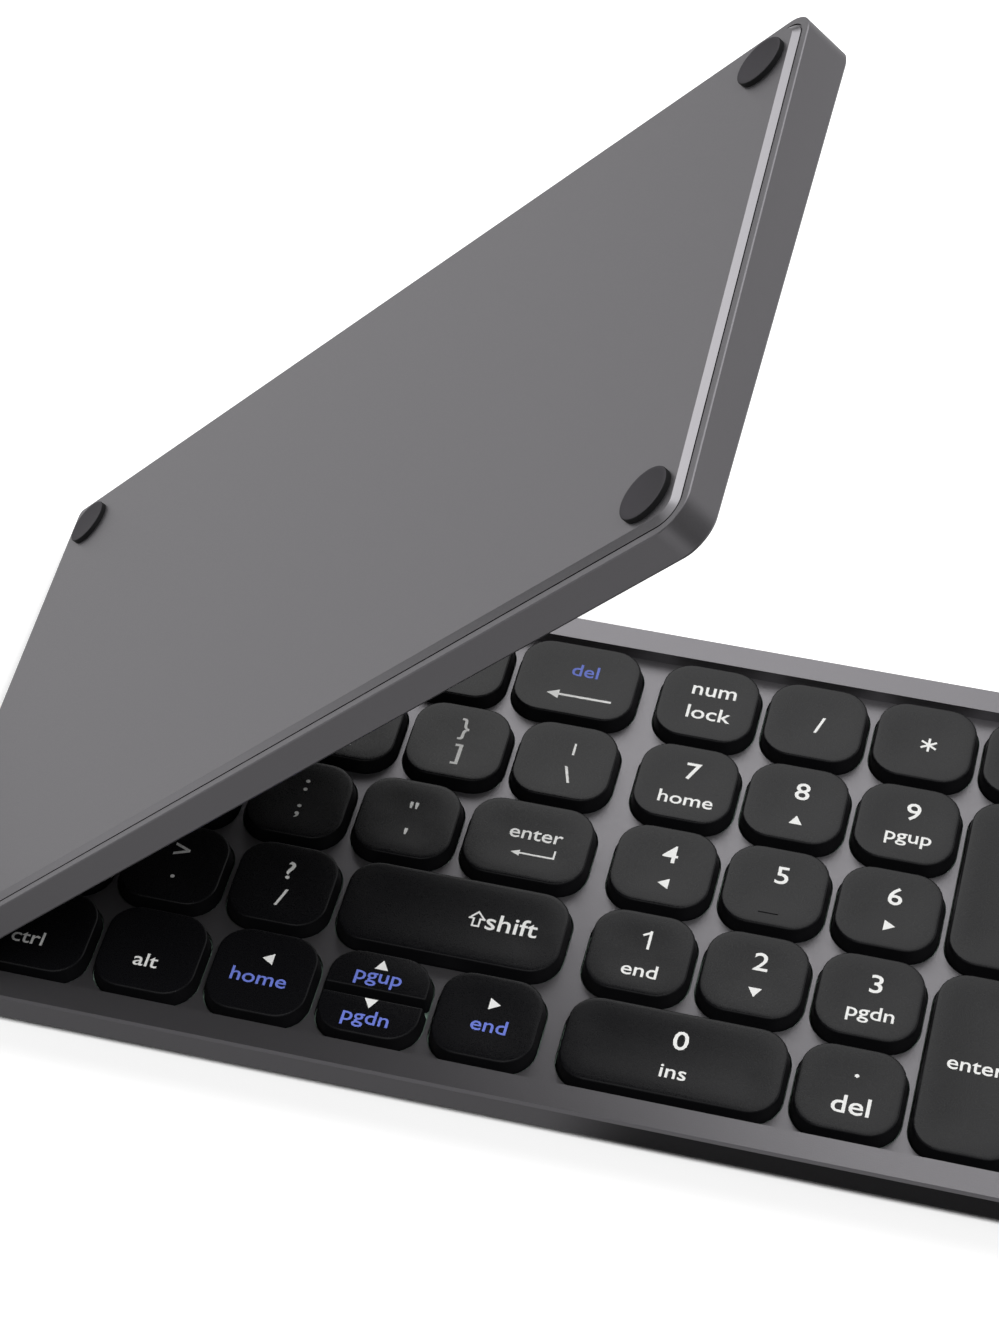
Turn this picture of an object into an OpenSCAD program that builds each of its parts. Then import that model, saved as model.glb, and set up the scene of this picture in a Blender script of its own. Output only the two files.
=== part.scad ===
// Folding keyboard with a number pad.
// Two thin metal halves hold low-profile keys and fold face to face on a geared two-axis hinge.
// The deck frame has X = 0 midway between the open halves, Y = 0 at the front edge and Z = 0 on
// the rim's top. Both halves are wedges, so the deck frame stands tilted on the table.

/* [Layout] */
// Distance between neighbouring key columns
col_pitch = 17.55; // [17:0.05:19]
// Distance between neighbouring key rows
row_pitch = 17; // [16.6:0.1:19]
// Width of the letter block on the right half, in key columns
main_units = 5.2; // [5.2:0.1:6]
// Strip of deck between the letter block and the number pad
block_gap = 2; // [1:0.5:5]
// Clear strip between the key cells and the rim
deck_margin = 0.5; // [0.3:0.1:2]

/* [Case] */
// Width of the raised rim on the front, back and free end
rim_w = 4.7; // [4.6:0.1:8]
// Width of the rim at the hinge end
hinge_rim_w = 3.05; // [3:0.05:6]
// Height of the case wall at the front
front_h = 5; // [5:0.1:7]
// Height of the case wall at the back
back_h = 7.9; // [7.9:0.1:10]
// Radius of the upright corners at the free end
corner_r = 4.7; // [4.5:0.1:7]
// Radius of the upright corners at the hinge end
hinge_corner_r = 1.2; // [1.2:0.1:1.5]
// Corner radius of the key well at the free end
well_r = 1.2; // [0.5:0.1:2.5]
// Chamfer along the rim's outer top edge
rim_chamfer = 0.4; // [0.2:0.1:0.6]
// Chamfer along the wall's bottom edge
foot_chamfer = 0.15; // [0.1:0.05:0.4]
// Depth of the key deck below the rim
deck_depth = 2.3; // [2.2:0.1:2.4]
// Thickness of the deck
deck_t = 0.6; // [0.5:0.1:0.7]

/* [Underside] */
// Width of the wall's own edge seen from below
edge_w = 1.2; // [1:0.1:1.8]
// Thickness of the wall above the bottom cover
ledge_w = 3.4; // [3.4:0.1:3.6]
// Gap between the wall's edge and the bottom cover
cover_gap = 0.25; // [0.1:0.05:0.3]
// Height of the bottom cover below the wall
cover_proud = 0.64; // [0.5:0.02:0.8]
// Depth of the recess that the bottom cover sits in
cover_sunk = 0.2; // [0.1:0.05:0.25]
// Width of the bevel round the bottom cover
cover_bevel = 1; // [0.7:0.1:1]
// Diameter of a rubber foot
foot_d = 8; // [6:0.5:10]
// Thickness of a rubber foot
foot_t = 0.8; // [0.5:0.1:1.5]
// Distance from a foot's centre to the case's edges
foot_inset = 7.35; // [7.2:0.05:9]

/* [Keys] */
// Gap between the skirts of neighbouring keys
key_gap = 1.05; // [1:0.05:1.4]
// Clearance of a key in its deck opening
key_clear = 0.2; // [0.15:0.01:0.3]
// Height of the key tops above the rim
key_proud = 0.3; // [0.1:0.05:0.35]
// How far a skirt hangs below the deck's top
skirt_drop = 0.25; // [0.2:0.05:0.3]
// Corner radius of a key's skirt
key_r = 5; // [4.4:0.1:5.4]
// How far the sides of a key lean in
key_draft = 0.42; // [0.3:0.02:0.5]
// Size of the rounding round a key's top
key_round = 0.33; // [0.2:0.01:0.4]
// Thickness of a key's top
key_top_t = 1; // [0.8:0.1:1.2]
// Thickness of a key's walls
key_wall = 2; // [1.6:0.1:2.2]
// Travel of a key
key_travel = 1.4; // [1:0.1:1.5]
// Gap between the two half-height arrow keys
arrow_split = 0.7; // [0.5:0.1:1]

/* [Hinge] */
// Depth of each hinge axis below the rim's top
axis_depth = 2.9; // [2.8:0.05:3]
// Gap between the rims when folded
closed_gap = 0.8; // [0.8:0.1:1.2]
// Angle between the two decks as drawn
lid_angle = 47; // [0:0.1:170]
// Number of teeth on a full gear
gear_teeth = 12; // [12:1:14]
// Width of a gear
gear_w = 1.2; // [1:0.1:1.3]
// Width of a link
link_w = 1.7; // [1.4:0.1:1.8]
// Outer radius of a link's eyes
link_r = 1.6; // [1.5:0.05:1.65]
// Radius of a hinge shaft
shaft_r = 0.75; // [0.6:0.05:0.85]
// Running clearance round a hinge shaft
shaft_clear = 0.05; // [0.03:0.01:0.08]
// Side clearance between hinge pieces
side_clear = 0.1; // [0.08:0.01:0.12]
// Thickness of the rim's cheek outside a hinge pocket
cheek_w = 0.7; // [0.6:0.1:0.8]

/* [Inside] */
// Thickness of the switch plate
plate_t = 0.3; // [0.2:0.05:0.3]
// Thickness of the contact membrane
membrane_t = 0.25; // [0.15:0.05:0.3]
// Depth of the switch plate's top below the rim
plate_depth = 4.4; // [4.35:0.05:4.4]
// Base radius of a rubber dome
dome_r = 2; // [1.6:0.1:2.1]
// Length of a scissor link
scissor_len = 8.6; // [7:0.2:9]
// Width of the inner scissor link
scissor_w = 6; // [5.6:0.1:6.4]
// Diameter of the screws' shanks
screw_d = 1.4; // [1.2:0.1:1.6]
// Length of the battery
battery_len = 62; // [40:1:70]
// Width of the battery
battery_w = 27; // [20:1:28]
// Length of the main board
board_len = 46; // [30:1:50]
// Width of the main board
board_w = 22; // [18:1:25]
// Width of the flat cable over the hinge
cable_w = 14; // [8:1:20]
// Thickness of the flat cable
cable_t = 0.2; // [0.15:0.05:0.3]

/* [Hidden] */
$fn = 48;

row_count = 5;
pad_columns = 4;
case_gray = "#5d5d61";
edge_gray = "#6b6b6f";
key_black = "#2c2c2e";
rubber_black = "#262628";
steel = "#a7a9ac";
film_green = "#8fa89a";
board_green = "#23553a";

// Outline of one half
link_len = 2 * axis_depth + closed_gap;
open_gap = link_len - 2 * axis_depth;
x_hinge_end = open_gap / 2;
x_axis = x_hinge_end + axis_depth;
x_cells = x_hinge_end + hinge_rim_w;
x_block_end = x_cells + main_units * col_pitch;
x_pad = x_block_end + block_gap;
x_cells_end = x_pad + pad_columns * col_pitch;
x_free_end = x_cells_end + deck_margin + rim_w;
half_len = x_free_end - x_hinge_end;
case_depth = 2 * (rim_w + deck_margin) + row_count * row_pitch;
y_cells = rim_w + deck_margin;
wedge_angle = atan((back_h - front_h) / case_depth);
slope_depth = case_depth / cos(wedge_angle);
hinge_rim_inner = hinge_rim_w - 0.3;

// Levels below the rim's top
deck_z = -deck_depth;
deck_under = deck_z - deck_t;
skirt_z = deck_z - skirt_drop;
plate_z = -plate_depth;
membrane_top = plate_z + membrane_t;
plate_under = plate_z - plate_t;
cap_under = key_proud - key_top_t;

// Walls inside the case
step_w = rim_w - 0.2;
hinge_wall_w = min(ledge_w, hinge_rim_w - 0.1);
room_clear = 0.2;
// Corner radius of a room or plate that lies a given way inside the case
function inner_r(inset) = max(0.5, corner_r - inset);
key_open_r = key_r + key_clear;
cover_inset = edge_w + cover_gap;
far = 200;

// Letter rows from the front, as cell widths in columns. The last cell fills its row.
// On the right half they run from the number pad towards the hinge.
base_rows = [[1, 1, 1, 1], [2.09, 1, 1], [1.22, 1, 1, 1], [1, 1, 1, 1], [1.22, 1, 1, 1]];
// On the left half they run from the free end towards the hinge.
lid_rows = [[1, 1, 1, 1.25], [2.25, 1, 1, 1, 1, 1, 1], [2, 1, 1, 1, 1, 1, 1],
            [1.3, 1, 1, 1, 1, 1, 1, 1], [1, 1, 1, 1, 1, 1, 1, 1]];
base_width = x_block_end - x_cells;
lid_width = x_cells_end - x_cells;

function sum_to(widths, last) = last < 0 ? 0 : widths[last] * col_pitch + sum_to(widths, last - 1);
function cell_start(widths, i) = sum_to(widths, i - 1);
function cell_size(widths, i, total) =
  i < len(widths) ? widths[i] * col_pitch : total - cell_start(widths, i);
// Middle of a letter cell, measured along X in the deck frame
function base_key_x(row, i) = x_block_end - cell_start(base_rows[row], i)
  - cell_size(base_rows[row], i, base_width) / 2;
function lid_key_x(row, i) = -x_cells_end + cell_start(lid_rows[row], i)
  + cell_size(lid_rows[row], i, lid_width) / 2;
function row_y(row) = y_cells + (row + 0.5) * row_pitch;
function pad_x(col) = x_pad + (col + 0.5) * col_pitch;

// Number pad cells: column, row, columns wide, rows tall
pad_cells = [[0, 0, 2, 1], [2, 0, 1, 1], [3, 0, 1, 2], [0, 1, 1, 1], [1, 1, 1, 1], [2, 1, 1, 1],
             [0, 2, 1, 1], [1, 2, 1, 1], [2, 2, 1, 1], [3, 2, 1, 2], [0, 3, 1, 1], [1, 3, 1, 1],
             [2, 3, 1, 1], [0, 4, 1, 1], [1, 4, 1, 1], [2, 4, 1, 1], [3, 4, 1, 1]];

// Power slider on the back wall
switch_x = x_free_end - 22;
switch_z = -4.6;
switch_slot = [7, 2];
knob_w = 3.6;
knob_h = switch_slot[1] - 0.3;
knob_proud = 0.7;

// Standing place of the whole keyboard: centred over its box, feet on Z = 0
link_angle = (180 - lid_angle) / 2;
lean = lid_angle / 2;
lid_axis_x = x_axis - link_len * sin(lean);
lid_axis_z = -axis_depth + link_len * cos(lean);
lid_reach = half_len - axis_depth;
x_low = lid_axis_x - axis_depth * cos(lid_angle) - (back_h - axis_depth) * sin(lid_angle);
lid_top = lid_axis_z + (lid_reach - corner_r) * sin(lid_angle)
  + (front_h - axis_depth) * cos(lid_angle);
y_low = -lid_top * sin(wedge_angle);
y_high = (case_depth + knob_proud) * cos(wedge_angle) + (knob_h / 2 - switch_z) * sin(wedge_angle);
stand_h = front_h * cos(wedge_angle) + cover_proud + foot_t;

// Moves the deck frame to its place on the table
module stand() {
  translate([-(x_low + x_free_end) / 2, -(y_low + y_high) / 2, stand_h])
    rotate([wedge_angle, 0, 0]) children();
}

// Folds the left half up from flat, about both hinge axes
module fold_link() {
  translate([x_axis, 0, -axis_depth]) rotate([0, link_angle, 0])
    translate([-x_axis, 0, axis_depth]) children();
}
module fold_lid() {
  fold_link() translate([-x_axis, 0, -axis_depth]) rotate([0, link_angle, 0])
    translate([x_axis, 0, axis_depth]) children();
}

// Frame on the sloping bottom plane: Z = 0 on the wall's lower edge
module on_bottom() {
  translate([0, 0, -front_h]) rotate([-wedge_angle, 0, 0]) children();
}

// Flat rounded rectangle from corner to corner, with one radius at each X end
module rounded(x0, y0, x1, y1, r_left, r_right) {
  translate([x0 + r_left, y0]) square([x1 - x0 - r_left - r_right, y1 - y0]);
  translate([x0, y0 + r_left]) square([r_left, y1 - y0 - 2 * r_left]);
  translate([x1 - r_right, y0 + r_right]) square([r_right, y1 - y0 - 2 * r_right]);
  for (y = [y0 + r_left, y1 - r_left]) translate([x0 + r_left, y]) circle(r_left);
  for (y = [y0 + r_right, y1 - r_right]) translate([x1 - r_right, y]) circle(r_right);
}

// Solid rounded block whose side follows a profile of [inset, height] points, bottom first.
// Quarter turns make its corners, straight runs its sides and one block its middle.
module profiled(x0, y0, x1, y1, r_left, r_right, profile) {
  low = profile[0][1];
  high = profile[len(profile) - 1][1];
  function side(r) = concat([[0, low]], [for (p = profile) [r - p[0], p[1]]], [[0, high]]);
  for (c = [[x1 - r_right, y1 - r_right, 0, r_right], [x0 + r_left, y1 - r_left, 90, r_left],
            [x0 + r_left, y0 + r_left, 180, r_left], [x1 - r_right, y0 + r_right, 270, r_right]])
    translate([c[0], c[1], 0]) rotate([0, 0, c[2]])
      rotate_extrude(angle = 90) polygon(side(c[3]));
  // Sides along X
  run = x1 - x0 - r_left - r_right;
  thick = max(r_left, r_right);
  translate([x0 + r_left, y1 - thick, 0]) rotate([90, 0, 90])
    linear_extrude(run) polygon(side(thick));
  translate([x1 - r_right, y0 + thick, 0]) rotate([90, 0, -90])
    linear_extrude(run) polygon(side(thick));
  // Sides along Y
  translate([x0 + r_left, y0 + r_left, 0]) rotate([90, 0, 180])
    linear_extrude(y1 - y0 - 2 * r_left) polygon(side(r_left));
  translate([x1 - r_right, y1 - r_right, 0]) rotate([90, 0, 0])
    linear_extrude(y1 - y0 - 2 * r_right) polygon(side(r_right));
  lap = 0.1;
  translate([x0 + r_left - lap, y0 + thick - lap, low])
    cube([run + 2 * lap, y1 - y0 - 2 * thick + 2 * lap, high - low]);
}

// Deck opening for a key cell given by its middle and size
module key_hole(x, y, w, d) {
  half_w = (w - key_gap) / 2 + key_clear;
  half_d = (d - key_gap) / 2 + key_clear;
  translate([0, 0, deck_under - 1]) linear_extrude(deck_t + 2)
    rounded(x - half_w, y - half_d, x + half_w, y + half_d, key_open_r, key_open_r);
}

// Keycap in a cell given by its middle and size, hollow below, with rails for its scissor
module keycap(x, y, w, d) {
  half_w = (w - key_gap) / 2;
  half_d = (d - key_gap) / 2;
  rail_x = 0.42 * scissor_len;
  rail_len = scissor_w - 1;
  rail_w = 0.6;
  rail_h = 0.35;
  color(key_black) {
    difference() {
      profiled(x - half_w, y - half_d, x + half_w, y + half_d, key_r, key_r,
               [[0, skirt_z], [key_draft, key_proud - key_round],
                [key_draft + key_round * 0.3, key_proud - key_round * 0.3],
                [key_draft + key_round, key_proud]]);
      translate([x - half_w + key_wall, y - half_d + key_wall, skirt_z - 1])
        cube([2 * half_w - 2 * key_wall, 2 * half_d - 2 * key_wall, cap_under - skirt_z + 1]);
    }
    for (side = [-1, 1])
      translate([x + side * rail_x - rail_w / 2, y - rail_len / 2, cap_under - rail_h])
        cube([rail_w, rail_len, rail_h + 0.2]);
    translate([x, y, cap_under - rail_h]) cylinder(r = 1, h = rail_h + 0.2);
  }
}

module pad_key(cell) {
  c = pad_cells[cell];
  stand() keycap(x_pad + (c[0] + c[2] / 2) * col_pitch, y_cells + (c[1] + c[3] / 2) * row_pitch,
                 c[2] * col_pitch, c[3] * row_pitch);
}

module base_key(row, i) {
  keycap(base_key_x(row, i), row_y(row), cell_size(base_rows[row], i, base_width), row_pitch);
}

module base_keys(row, first, last) {
  stand() for (i = [first:last]) base_key(row, i);
}

module lid_keys(row) {
  stand() fold_lid() for (i = [0:len(lid_rows[row])])
    keycap(lid_key_x(row, i), row_y(row), cell_size(lid_rows[row], i, lid_width), row_pitch);
}

// Half-height arrow key: the upper one has side = 1, the lower one side = -1
module arrow_key(side) {
  half = row_pitch / 2;
  stand() intersection() {
    base_key(0, 1);
    translate([base_key_x(0, 1) - half * 2, row_y(0) + side * (half + arrow_split) / 2 - half / 2,
               -far / 2])
      cube([4 * half, half, far]);
  }
}

// Case of one half, drawn as the right half with its hinge end at the left
module half_case() {
  open_z = 1;
  difference() {
    profiled(x_hinge_end, 0, x_free_end, case_depth, hinge_corner_r, corner_r,
             [[0, -back_h - 1], [0, -rim_chamfer], [rim_chamfer, 0]]);
    // Sloping underside
    on_bottom() translate([-far / 4, -far / 4, -far]) cube([2 * far, far, far]);
    // Recess for the bottom cover
    on_bottom() translate([0, 0, -1]) linear_extrude(1 + cover_sunk)
      rounded(x_hinge_end + edge_w, edge_w, x_free_end - edge_w, slope_depth - edge_w,
              hinge_corner_r, corner_r - edge_w);
    // Room for the battery and board below the switch plate
    translate([0, 0, -back_h - 2]) linear_extrude(back_h + 2 + plate_z)
      rounded(x_hinge_end + hinge_wall_w, ledge_w, x_free_end - ledge_w, case_depth - ledge_w,
              hinge_corner_r, inner_r(ledge_w));
    // Room for the switches between the plate and the deck
    translate([0, 0, plate_z - 1]) linear_extrude(1 + plate_depth - deck_depth - deck_t)
      rounded(x_hinge_end + hinge_wall_w, step_w, x_free_end - step_w, case_depth - step_w,
              hinge_corner_r, inner_r(step_w));
    // Key well above the deck
    translate([0, 0, deck_z]) linear_extrude(deck_depth + open_z)
      rounded(x_hinge_end + hinge_rim_inner, rim_w, x_free_end - rim_w, case_depth - rim_w,
              hinge_corner_r, well_r);
    // Round over the hinge end so that the halves roll past each other
    difference() {
      translate([-far, -1, -axis_depth]) cube([far + x_axis, case_depth + 2, axis_depth + open_z]);
      translate([x_axis, -2, -axis_depth]) rotate([-90, 0, 0])
        cylinder(r = link_len / 2 - 0.1, h = case_depth + 4);
    }
    for (back = [0, 1]) hinge_pocket(back);
    bottom_chamfer();
    cable_slot();
  }
}

// Cuts the chamfer along the wall's sloping bottom edge at the front, back and free end.
// Its corners are a little tighter than the walls', so it thins out around them.
module bottom_chamfer() {
  c = foot_chamfer;
  over = 0.5;
  r = corner_r - 0.2;
  wedge = [[c, -0.01], [-over, -0.01], [-over, c + over]];
  on_bottom() {
    for (back = [0, 1])
      translate([-1, back * slope_depth, 0]) mirror([0, back, 0]) rotate([90, 0, 90])
        linear_extrude(x_free_end - r + 1) polygon(wedge);
    translate([x_free_end, slope_depth - r, 0]) rotate([90, 0, 0]) mirror([1, 0, 0])
      linear_extrude(slope_depth - 2 * r) polygon(wedge);
    for (back = [0, 1])
      translate([x_free_end - r, back ? slope_depth - r : r, 0])
        rotate([0, 0, back ? 0 : -90]) rotate_extrude(angle = 90)
          polygon([for (p = wedge) [r - p[0], p[1]]]);
  }
}

// Straight end of the flat cable, which stops short of the first key
cable_tail = hinge_rim_w + 0.35;

// Slot in the hinge end for the flat cable
module cable_slot() {
  slot_h = 0.8;
  translate([-1, case_depth / 2 - cable_w / 2 - 0.5, -axis_depth - slot_h / 2])
    cube([x_hinge_end + cable_tail + 1.1, cable_w + 1, slot_h]);
}

pocket_w = gear_w + link_w + 3 * side_clear;
pocket_x = x_axis + link_r + 0.8;
tail_len = 6;
tail_h = 1.2;

// Y of the outer face of a hinge pocket, and the direction that it grows
function pocket_y(back) = back ? case_depth - cheek_w : cheek_w;
function inward(back) = back ? -1 : 1;
// Low Y of a slab that starts a given way into the pocket
function slab_y(back, start, w) = back ? pocket_y(1) - start - w : pocket_y(0) + start;

module hinge_pocket(back) {
  floor_z = -axis_depth - link_r - side_clear;
  translate([-1, slab_y(back, 0, pocket_w), floor_z]) cube([pocket_x + 1, pocket_w, far]);
  // Seat of the gear's tail
  translate([pocket_x - 1, slab_y(back, side_clear, gear_w), -axis_depth - tail_h / 2])
    cube([1 + tail_len, gear_w, tail_h]);
  // Seats of the shaft's ends in both cheeks
  translate([x_axis, slab_y(back, -0.4, pocket_w + 0.8), -axis_depth]) rotate([-90, 0, 0])
    cylinder(r = shaft_r, h = pocket_w + 0.8);
}

// Involute gear outline
gear_r = link_len / 2;
gear_module = 2 * gear_r / gear_teeth;
pressure_angle = 25;
gear_base_r = gear_r * cos(pressure_angle);
gear_tip_r = gear_r + 0.88 * gear_module;
gear_root_r = gear_r - 1.12 * gear_module;
tooth_backlash = 0.14;
tooth_half = (90 / gear_teeth) - (tooth_backlash / 2) / gear_r * 180 / PI;
function inv(angle) = tan(angle) * 180 / PI - angle;
// Angle from a tooth's middle to its flank at radius r
function flank(r) = tooth_half + inv(pressure_angle) - inv(acos(min(1, gear_base_r / r)));
flank_steps = 5;
function flank_r(i) = gear_base_r + (gear_tip_r - gear_base_r) * i / flank_steps;
function at(r, a) = [r * cos(a), r * sin(a)];
function tooth(middle) = concat(
  [at(gear_root_r - 0.2, middle - flank(gear_base_r))],
  [for (i = [0:flank_steps]) at(flank_r(i), middle - flank(flank_r(i)))],
  [for (i = [flank_steps:-1:0]) at(flank_r(i), middle + flank(flank_r(i)))],
  [at(gear_root_r - 0.2, middle + flank(gear_base_r))]);

// Gear sector with its shaft and tail, drawn as the right half's. Phase shifts it by half a
// tooth, so that the two halves' gears mesh.
module hinge_gear(back, phase) {
  step = 360 / gear_teeth;
  teeth_span = round(90 / step) + 1;
  first = 90 - (phase ? step / 2 : 0);
  translate([x_axis, slab_y(back, side_clear, gear_w) + gear_w, -axis_depth])
    rotate([90, 0, 0]) linear_extrude(gear_w) {
      circle(link_r);
      // Toothed part from straight up to straight out of the hinge end
      intersection() {
        circle(gear_root_r);
        polygon([[0, 0], at(2 * gear_r, first - step * 0.45), at(2 * gear_r, 135),
                 at(2 * gear_r, 180 + step * 0.45)]);
      }
      for (i = [0:teeth_span - 1]) polygon(tooth(first + i * step));
      translate([0, -tail_h / 2]) square([pocket_x - x_axis + tail_len, tail_h]);
    }
  translate([x_axis, slab_y(back, -0.4, pocket_w + 0.8), -axis_depth]) rotate([-90, 0, 0])
    cylinder(r = shaft_r, h = pocket_w + 0.8);
}

module base_hinge_gears() {
  stand() color(steel) for (back = [0, 1]) hinge_gear(back, false);
}
module lid_hinge_gears() {
  stand() fold_lid() mirror([1, 0, 0]) color(steel) for (back = [0, 1]) hinge_gear(back, true);
}

// Link with an eye on each shaft
module hinge_links() {
  bore_r = shaft_r + shaft_clear;
  stand() fold_link() color(steel) for (back = [0, 1])
    translate([0, slab_y(back, gear_w + 2 * side_clear, link_w) + link_w, -axis_depth])
      rotate([90, 0, 0]) linear_extrude(link_w) difference() {
        union() {
          translate([-x_axis, -link_r]) square([2 * x_axis, 2 * link_r]);
          for (side = [-1, 1]) translate([side * x_axis, 0]) circle(link_r);
        }
        for (side = [-1, 1]) translate([side * x_axis, 0]) circle(bore_r);
      }
}

// Flat cable from half to half, bowed out of the hinge ends in an even arc, drawn as one strip
module flex_cable() {
  arc = 180 - lid_angle;
  arc_steps = 16;
  chord = norm([x_hinge_end - (lid_axis_x - axis_depth * cos(lid_angle)),
                lid_axis_z - axis_depth * sin(lid_angle) + axis_depth]);
  bend_r = chord / (2 * sin(arc / 2));
  function on_arc(r, a) = [x_hinge_end + r * cos(a), bend_r + r * sin(a)];
  // Points along one face of the strip, from the tail in the right half to the other's
  function face(r) = concat(
    [[x_hinge_end + cable_tail, bend_r - r]],
    [for (i = [0:arc_steps]) on_arc(r, 270 - arc * i / arc_steps)],
    [on_arc(r, 270 - arc) + cable_tail * [-sin(arc + 90), -cos(arc + 90)]]);
  outer = face(bend_r + cable_t / 2);
  inner = face(bend_r - cable_t / 2);
  last = len(inner) - 1;
  stand() color("#b5762f")
    translate([0, case_depth / 2 + cable_w / 2, -axis_depth]) rotate([90, 0, 0])
      linear_extrude(cable_w) polygon(concat(outer, [for (i = [last:-1:0]) inner[i]]));
}

// Four places of feet and screws in the bottom plane's frame
function foot_places() = [for (x = [x_hinge_end + foot_inset, x_free_end - foot_inset],
                               y = [foot_inset, slope_depth - foot_inset]) [x, y]];
screw_head_r = screw_d * 0.95;
screw_head_h = 0.5;
boss_r = 1.7;
// Height from the cover's inner face up to the switch plate at a place in the bottom frame
function plate_gap(y) = front_h - cover_sunk + y * sin(wedge_angle) - plate_depth - plate_t;

module half_cover() {
  inner = cover_sunk;
  on_bottom() difference() {
    union() {
      mirror([0, 0, 1])
        profiled(x_hinge_end + cover_inset, cover_inset, x_free_end - cover_inset,
                 slope_depth - cover_inset, hinge_corner_r, corner_r - cover_inset,
                 [[0, -inner], [0, 0], [cover_bevel, cover_proud]]);
      for (p = foot_places()) if (plate_gap(p[1]) > 0.4)
        translate([p[0], p[1], 0]) cylinder(r = boss_r, h = inner + plate_gap(p[1]) - 0.1);
    }
    for (p = foot_places()) {
      translate([p[0], p[1], -far / 2]) cylinder(r = screw_d / 2 + 0.05, h = far);
      translate([p[0], p[1], -cover_proud - 0.01])
        cylinder(r1 = screw_head_r + 0.05, r2 = screw_d / 2, h = screw_head_h + 0.01);
    }
  }
}

module half_feet() {
  edge = 0.15;
  on_bottom() for (p = foot_places()) translate([p[0], p[1], -cover_proud - foot_t])
    rotate_extrude() polygon([[0, 0], [foot_d / 2 - edge, 0], [foot_d / 2, edge],
                              [foot_d / 2, foot_t], [0, foot_t]]);
}

module half_screws() {
  on_bottom() for (p = foot_places()) translate([p[0], p[1], -cover_proud])
    rotate_extrude() polygon([[0, 0], [screw_head_r, 0], [screw_d / 2, screw_head_h],
      [screw_d / 2, cover_proud + cover_sunk + max(0.1, plate_gap(p[1])) + plate_t],
      [0, cover_proud + cover_sunk + max(0.1, plate_gap(p[1])) + plate_t]]);
}

// Screw holes through the switch plate or the membrane
module plate_holes(r) {
  on_bottom() for (p = foot_places()) translate([p[0], p[1], 0.1]) cylinder(r = r, h = far / 4);
}

module half_switch_plate() {
  inset = ledge_w + room_clear;
  difference() {
    translate([0, 0, plate_under]) linear_extrude(plate_t)
      rounded(x_hinge_end + inset, inset, x_free_end - inset, case_depth - inset,
              hinge_corner_r, inner_r(inset));
    plate_holes(screw_d / 2 + 0.05);
  }
}

module half_membrane() {
  inset = step_w + room_clear;
  difference() {
    translate([0, 0, plate_z]) linear_extrude(membrane_t)
      rounded(x_hinge_end + inset, inset, x_free_end - inset, case_depth - inset,
              hinge_corner_r, inner_r(inset));
    plate_holes(screw_d / 2 + 0.4);
  }
}

// Hollow rubber dome under a key
module dome() {
  top = cap_under - 0.45;
  wall = 0.35;
  rotate_extrude() polygon([[dome_r - wall, membrane_top], [dome_r, membrane_top],
    [dome_r - 0.1, membrane_top + 0.4], [1.1, top], [0, top], [0, top - wall],
    [0.9, top - wall], [dome_r - 0.1 - wall, membrane_top + 0.4]]);
}

// Two crossed frames that keep a key level
module scissor() {
  bar = 0.55;
  z_mid = (membrane_top + cap_under) / 2;
  rise = asin((cap_under - membrane_top - 1.4) / scissor_len);
  inner_d = scissor_w;
  outer_d = inner_d + 2.4;
  translate([0, 0, z_mid]) {
    rotate([0, rise, 0]) difference() {
      cube([scissor_len, inner_d, bar], center = true);
      cube([scissor_len - 2, inner_d - 1.6, 2 * bar], center = true);
    }
    rotate([0, -rise, 0]) difference() {
      cube([scissor_len, outer_d, bar], center = true);
      cube([scissor_len - 1.4, inner_d + 0.4, 2 * bar], center = true);
    }
  }
}

module at_base_keys() {
  for (c = pad_cells) translate([x_pad + (c[0] + c[2] / 2) * col_pitch,
                                 y_cells + (c[1] + c[3] / 2) * row_pitch, 0]) children();
  for (row = [0:row_count - 1], i = [0:len(base_rows[row])]) if (row > 0 || i != 1)
    translate([base_key_x(row, i), row_y(row), 0]) children();
}
module at_lid_keys() {
  for (row = [0:row_count - 1], i = [0:len(lid_rows[row])])
    translate([lid_key_x(row, i), row_y(row), 0]) children();
}

// Right half

usb_x = x_free_end - 42;
usb_w = 8.94;
usb_h = 3.16;
usb_len = 6.6;
usb_z = -back_h + 0.45 + usb_h / 2;
light_x = x_free_end - rim_w + 1.3;
light_y = [for (i = [0:2]) case_depth - 13 - 5 * i];
light_r = 0.5;
light_leg_z = -3.7;

// Upright slot outline on the back wall
module back_slot(w, h) {
  rotate([90, 0, 0]) linear_extrude(usb_len + 1) {
    square([w - h, h], center = true);
    for (side = [-1, 1]) translate([side * (w - h) / 2, 0]) circle(h / 2);
  }
}

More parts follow.
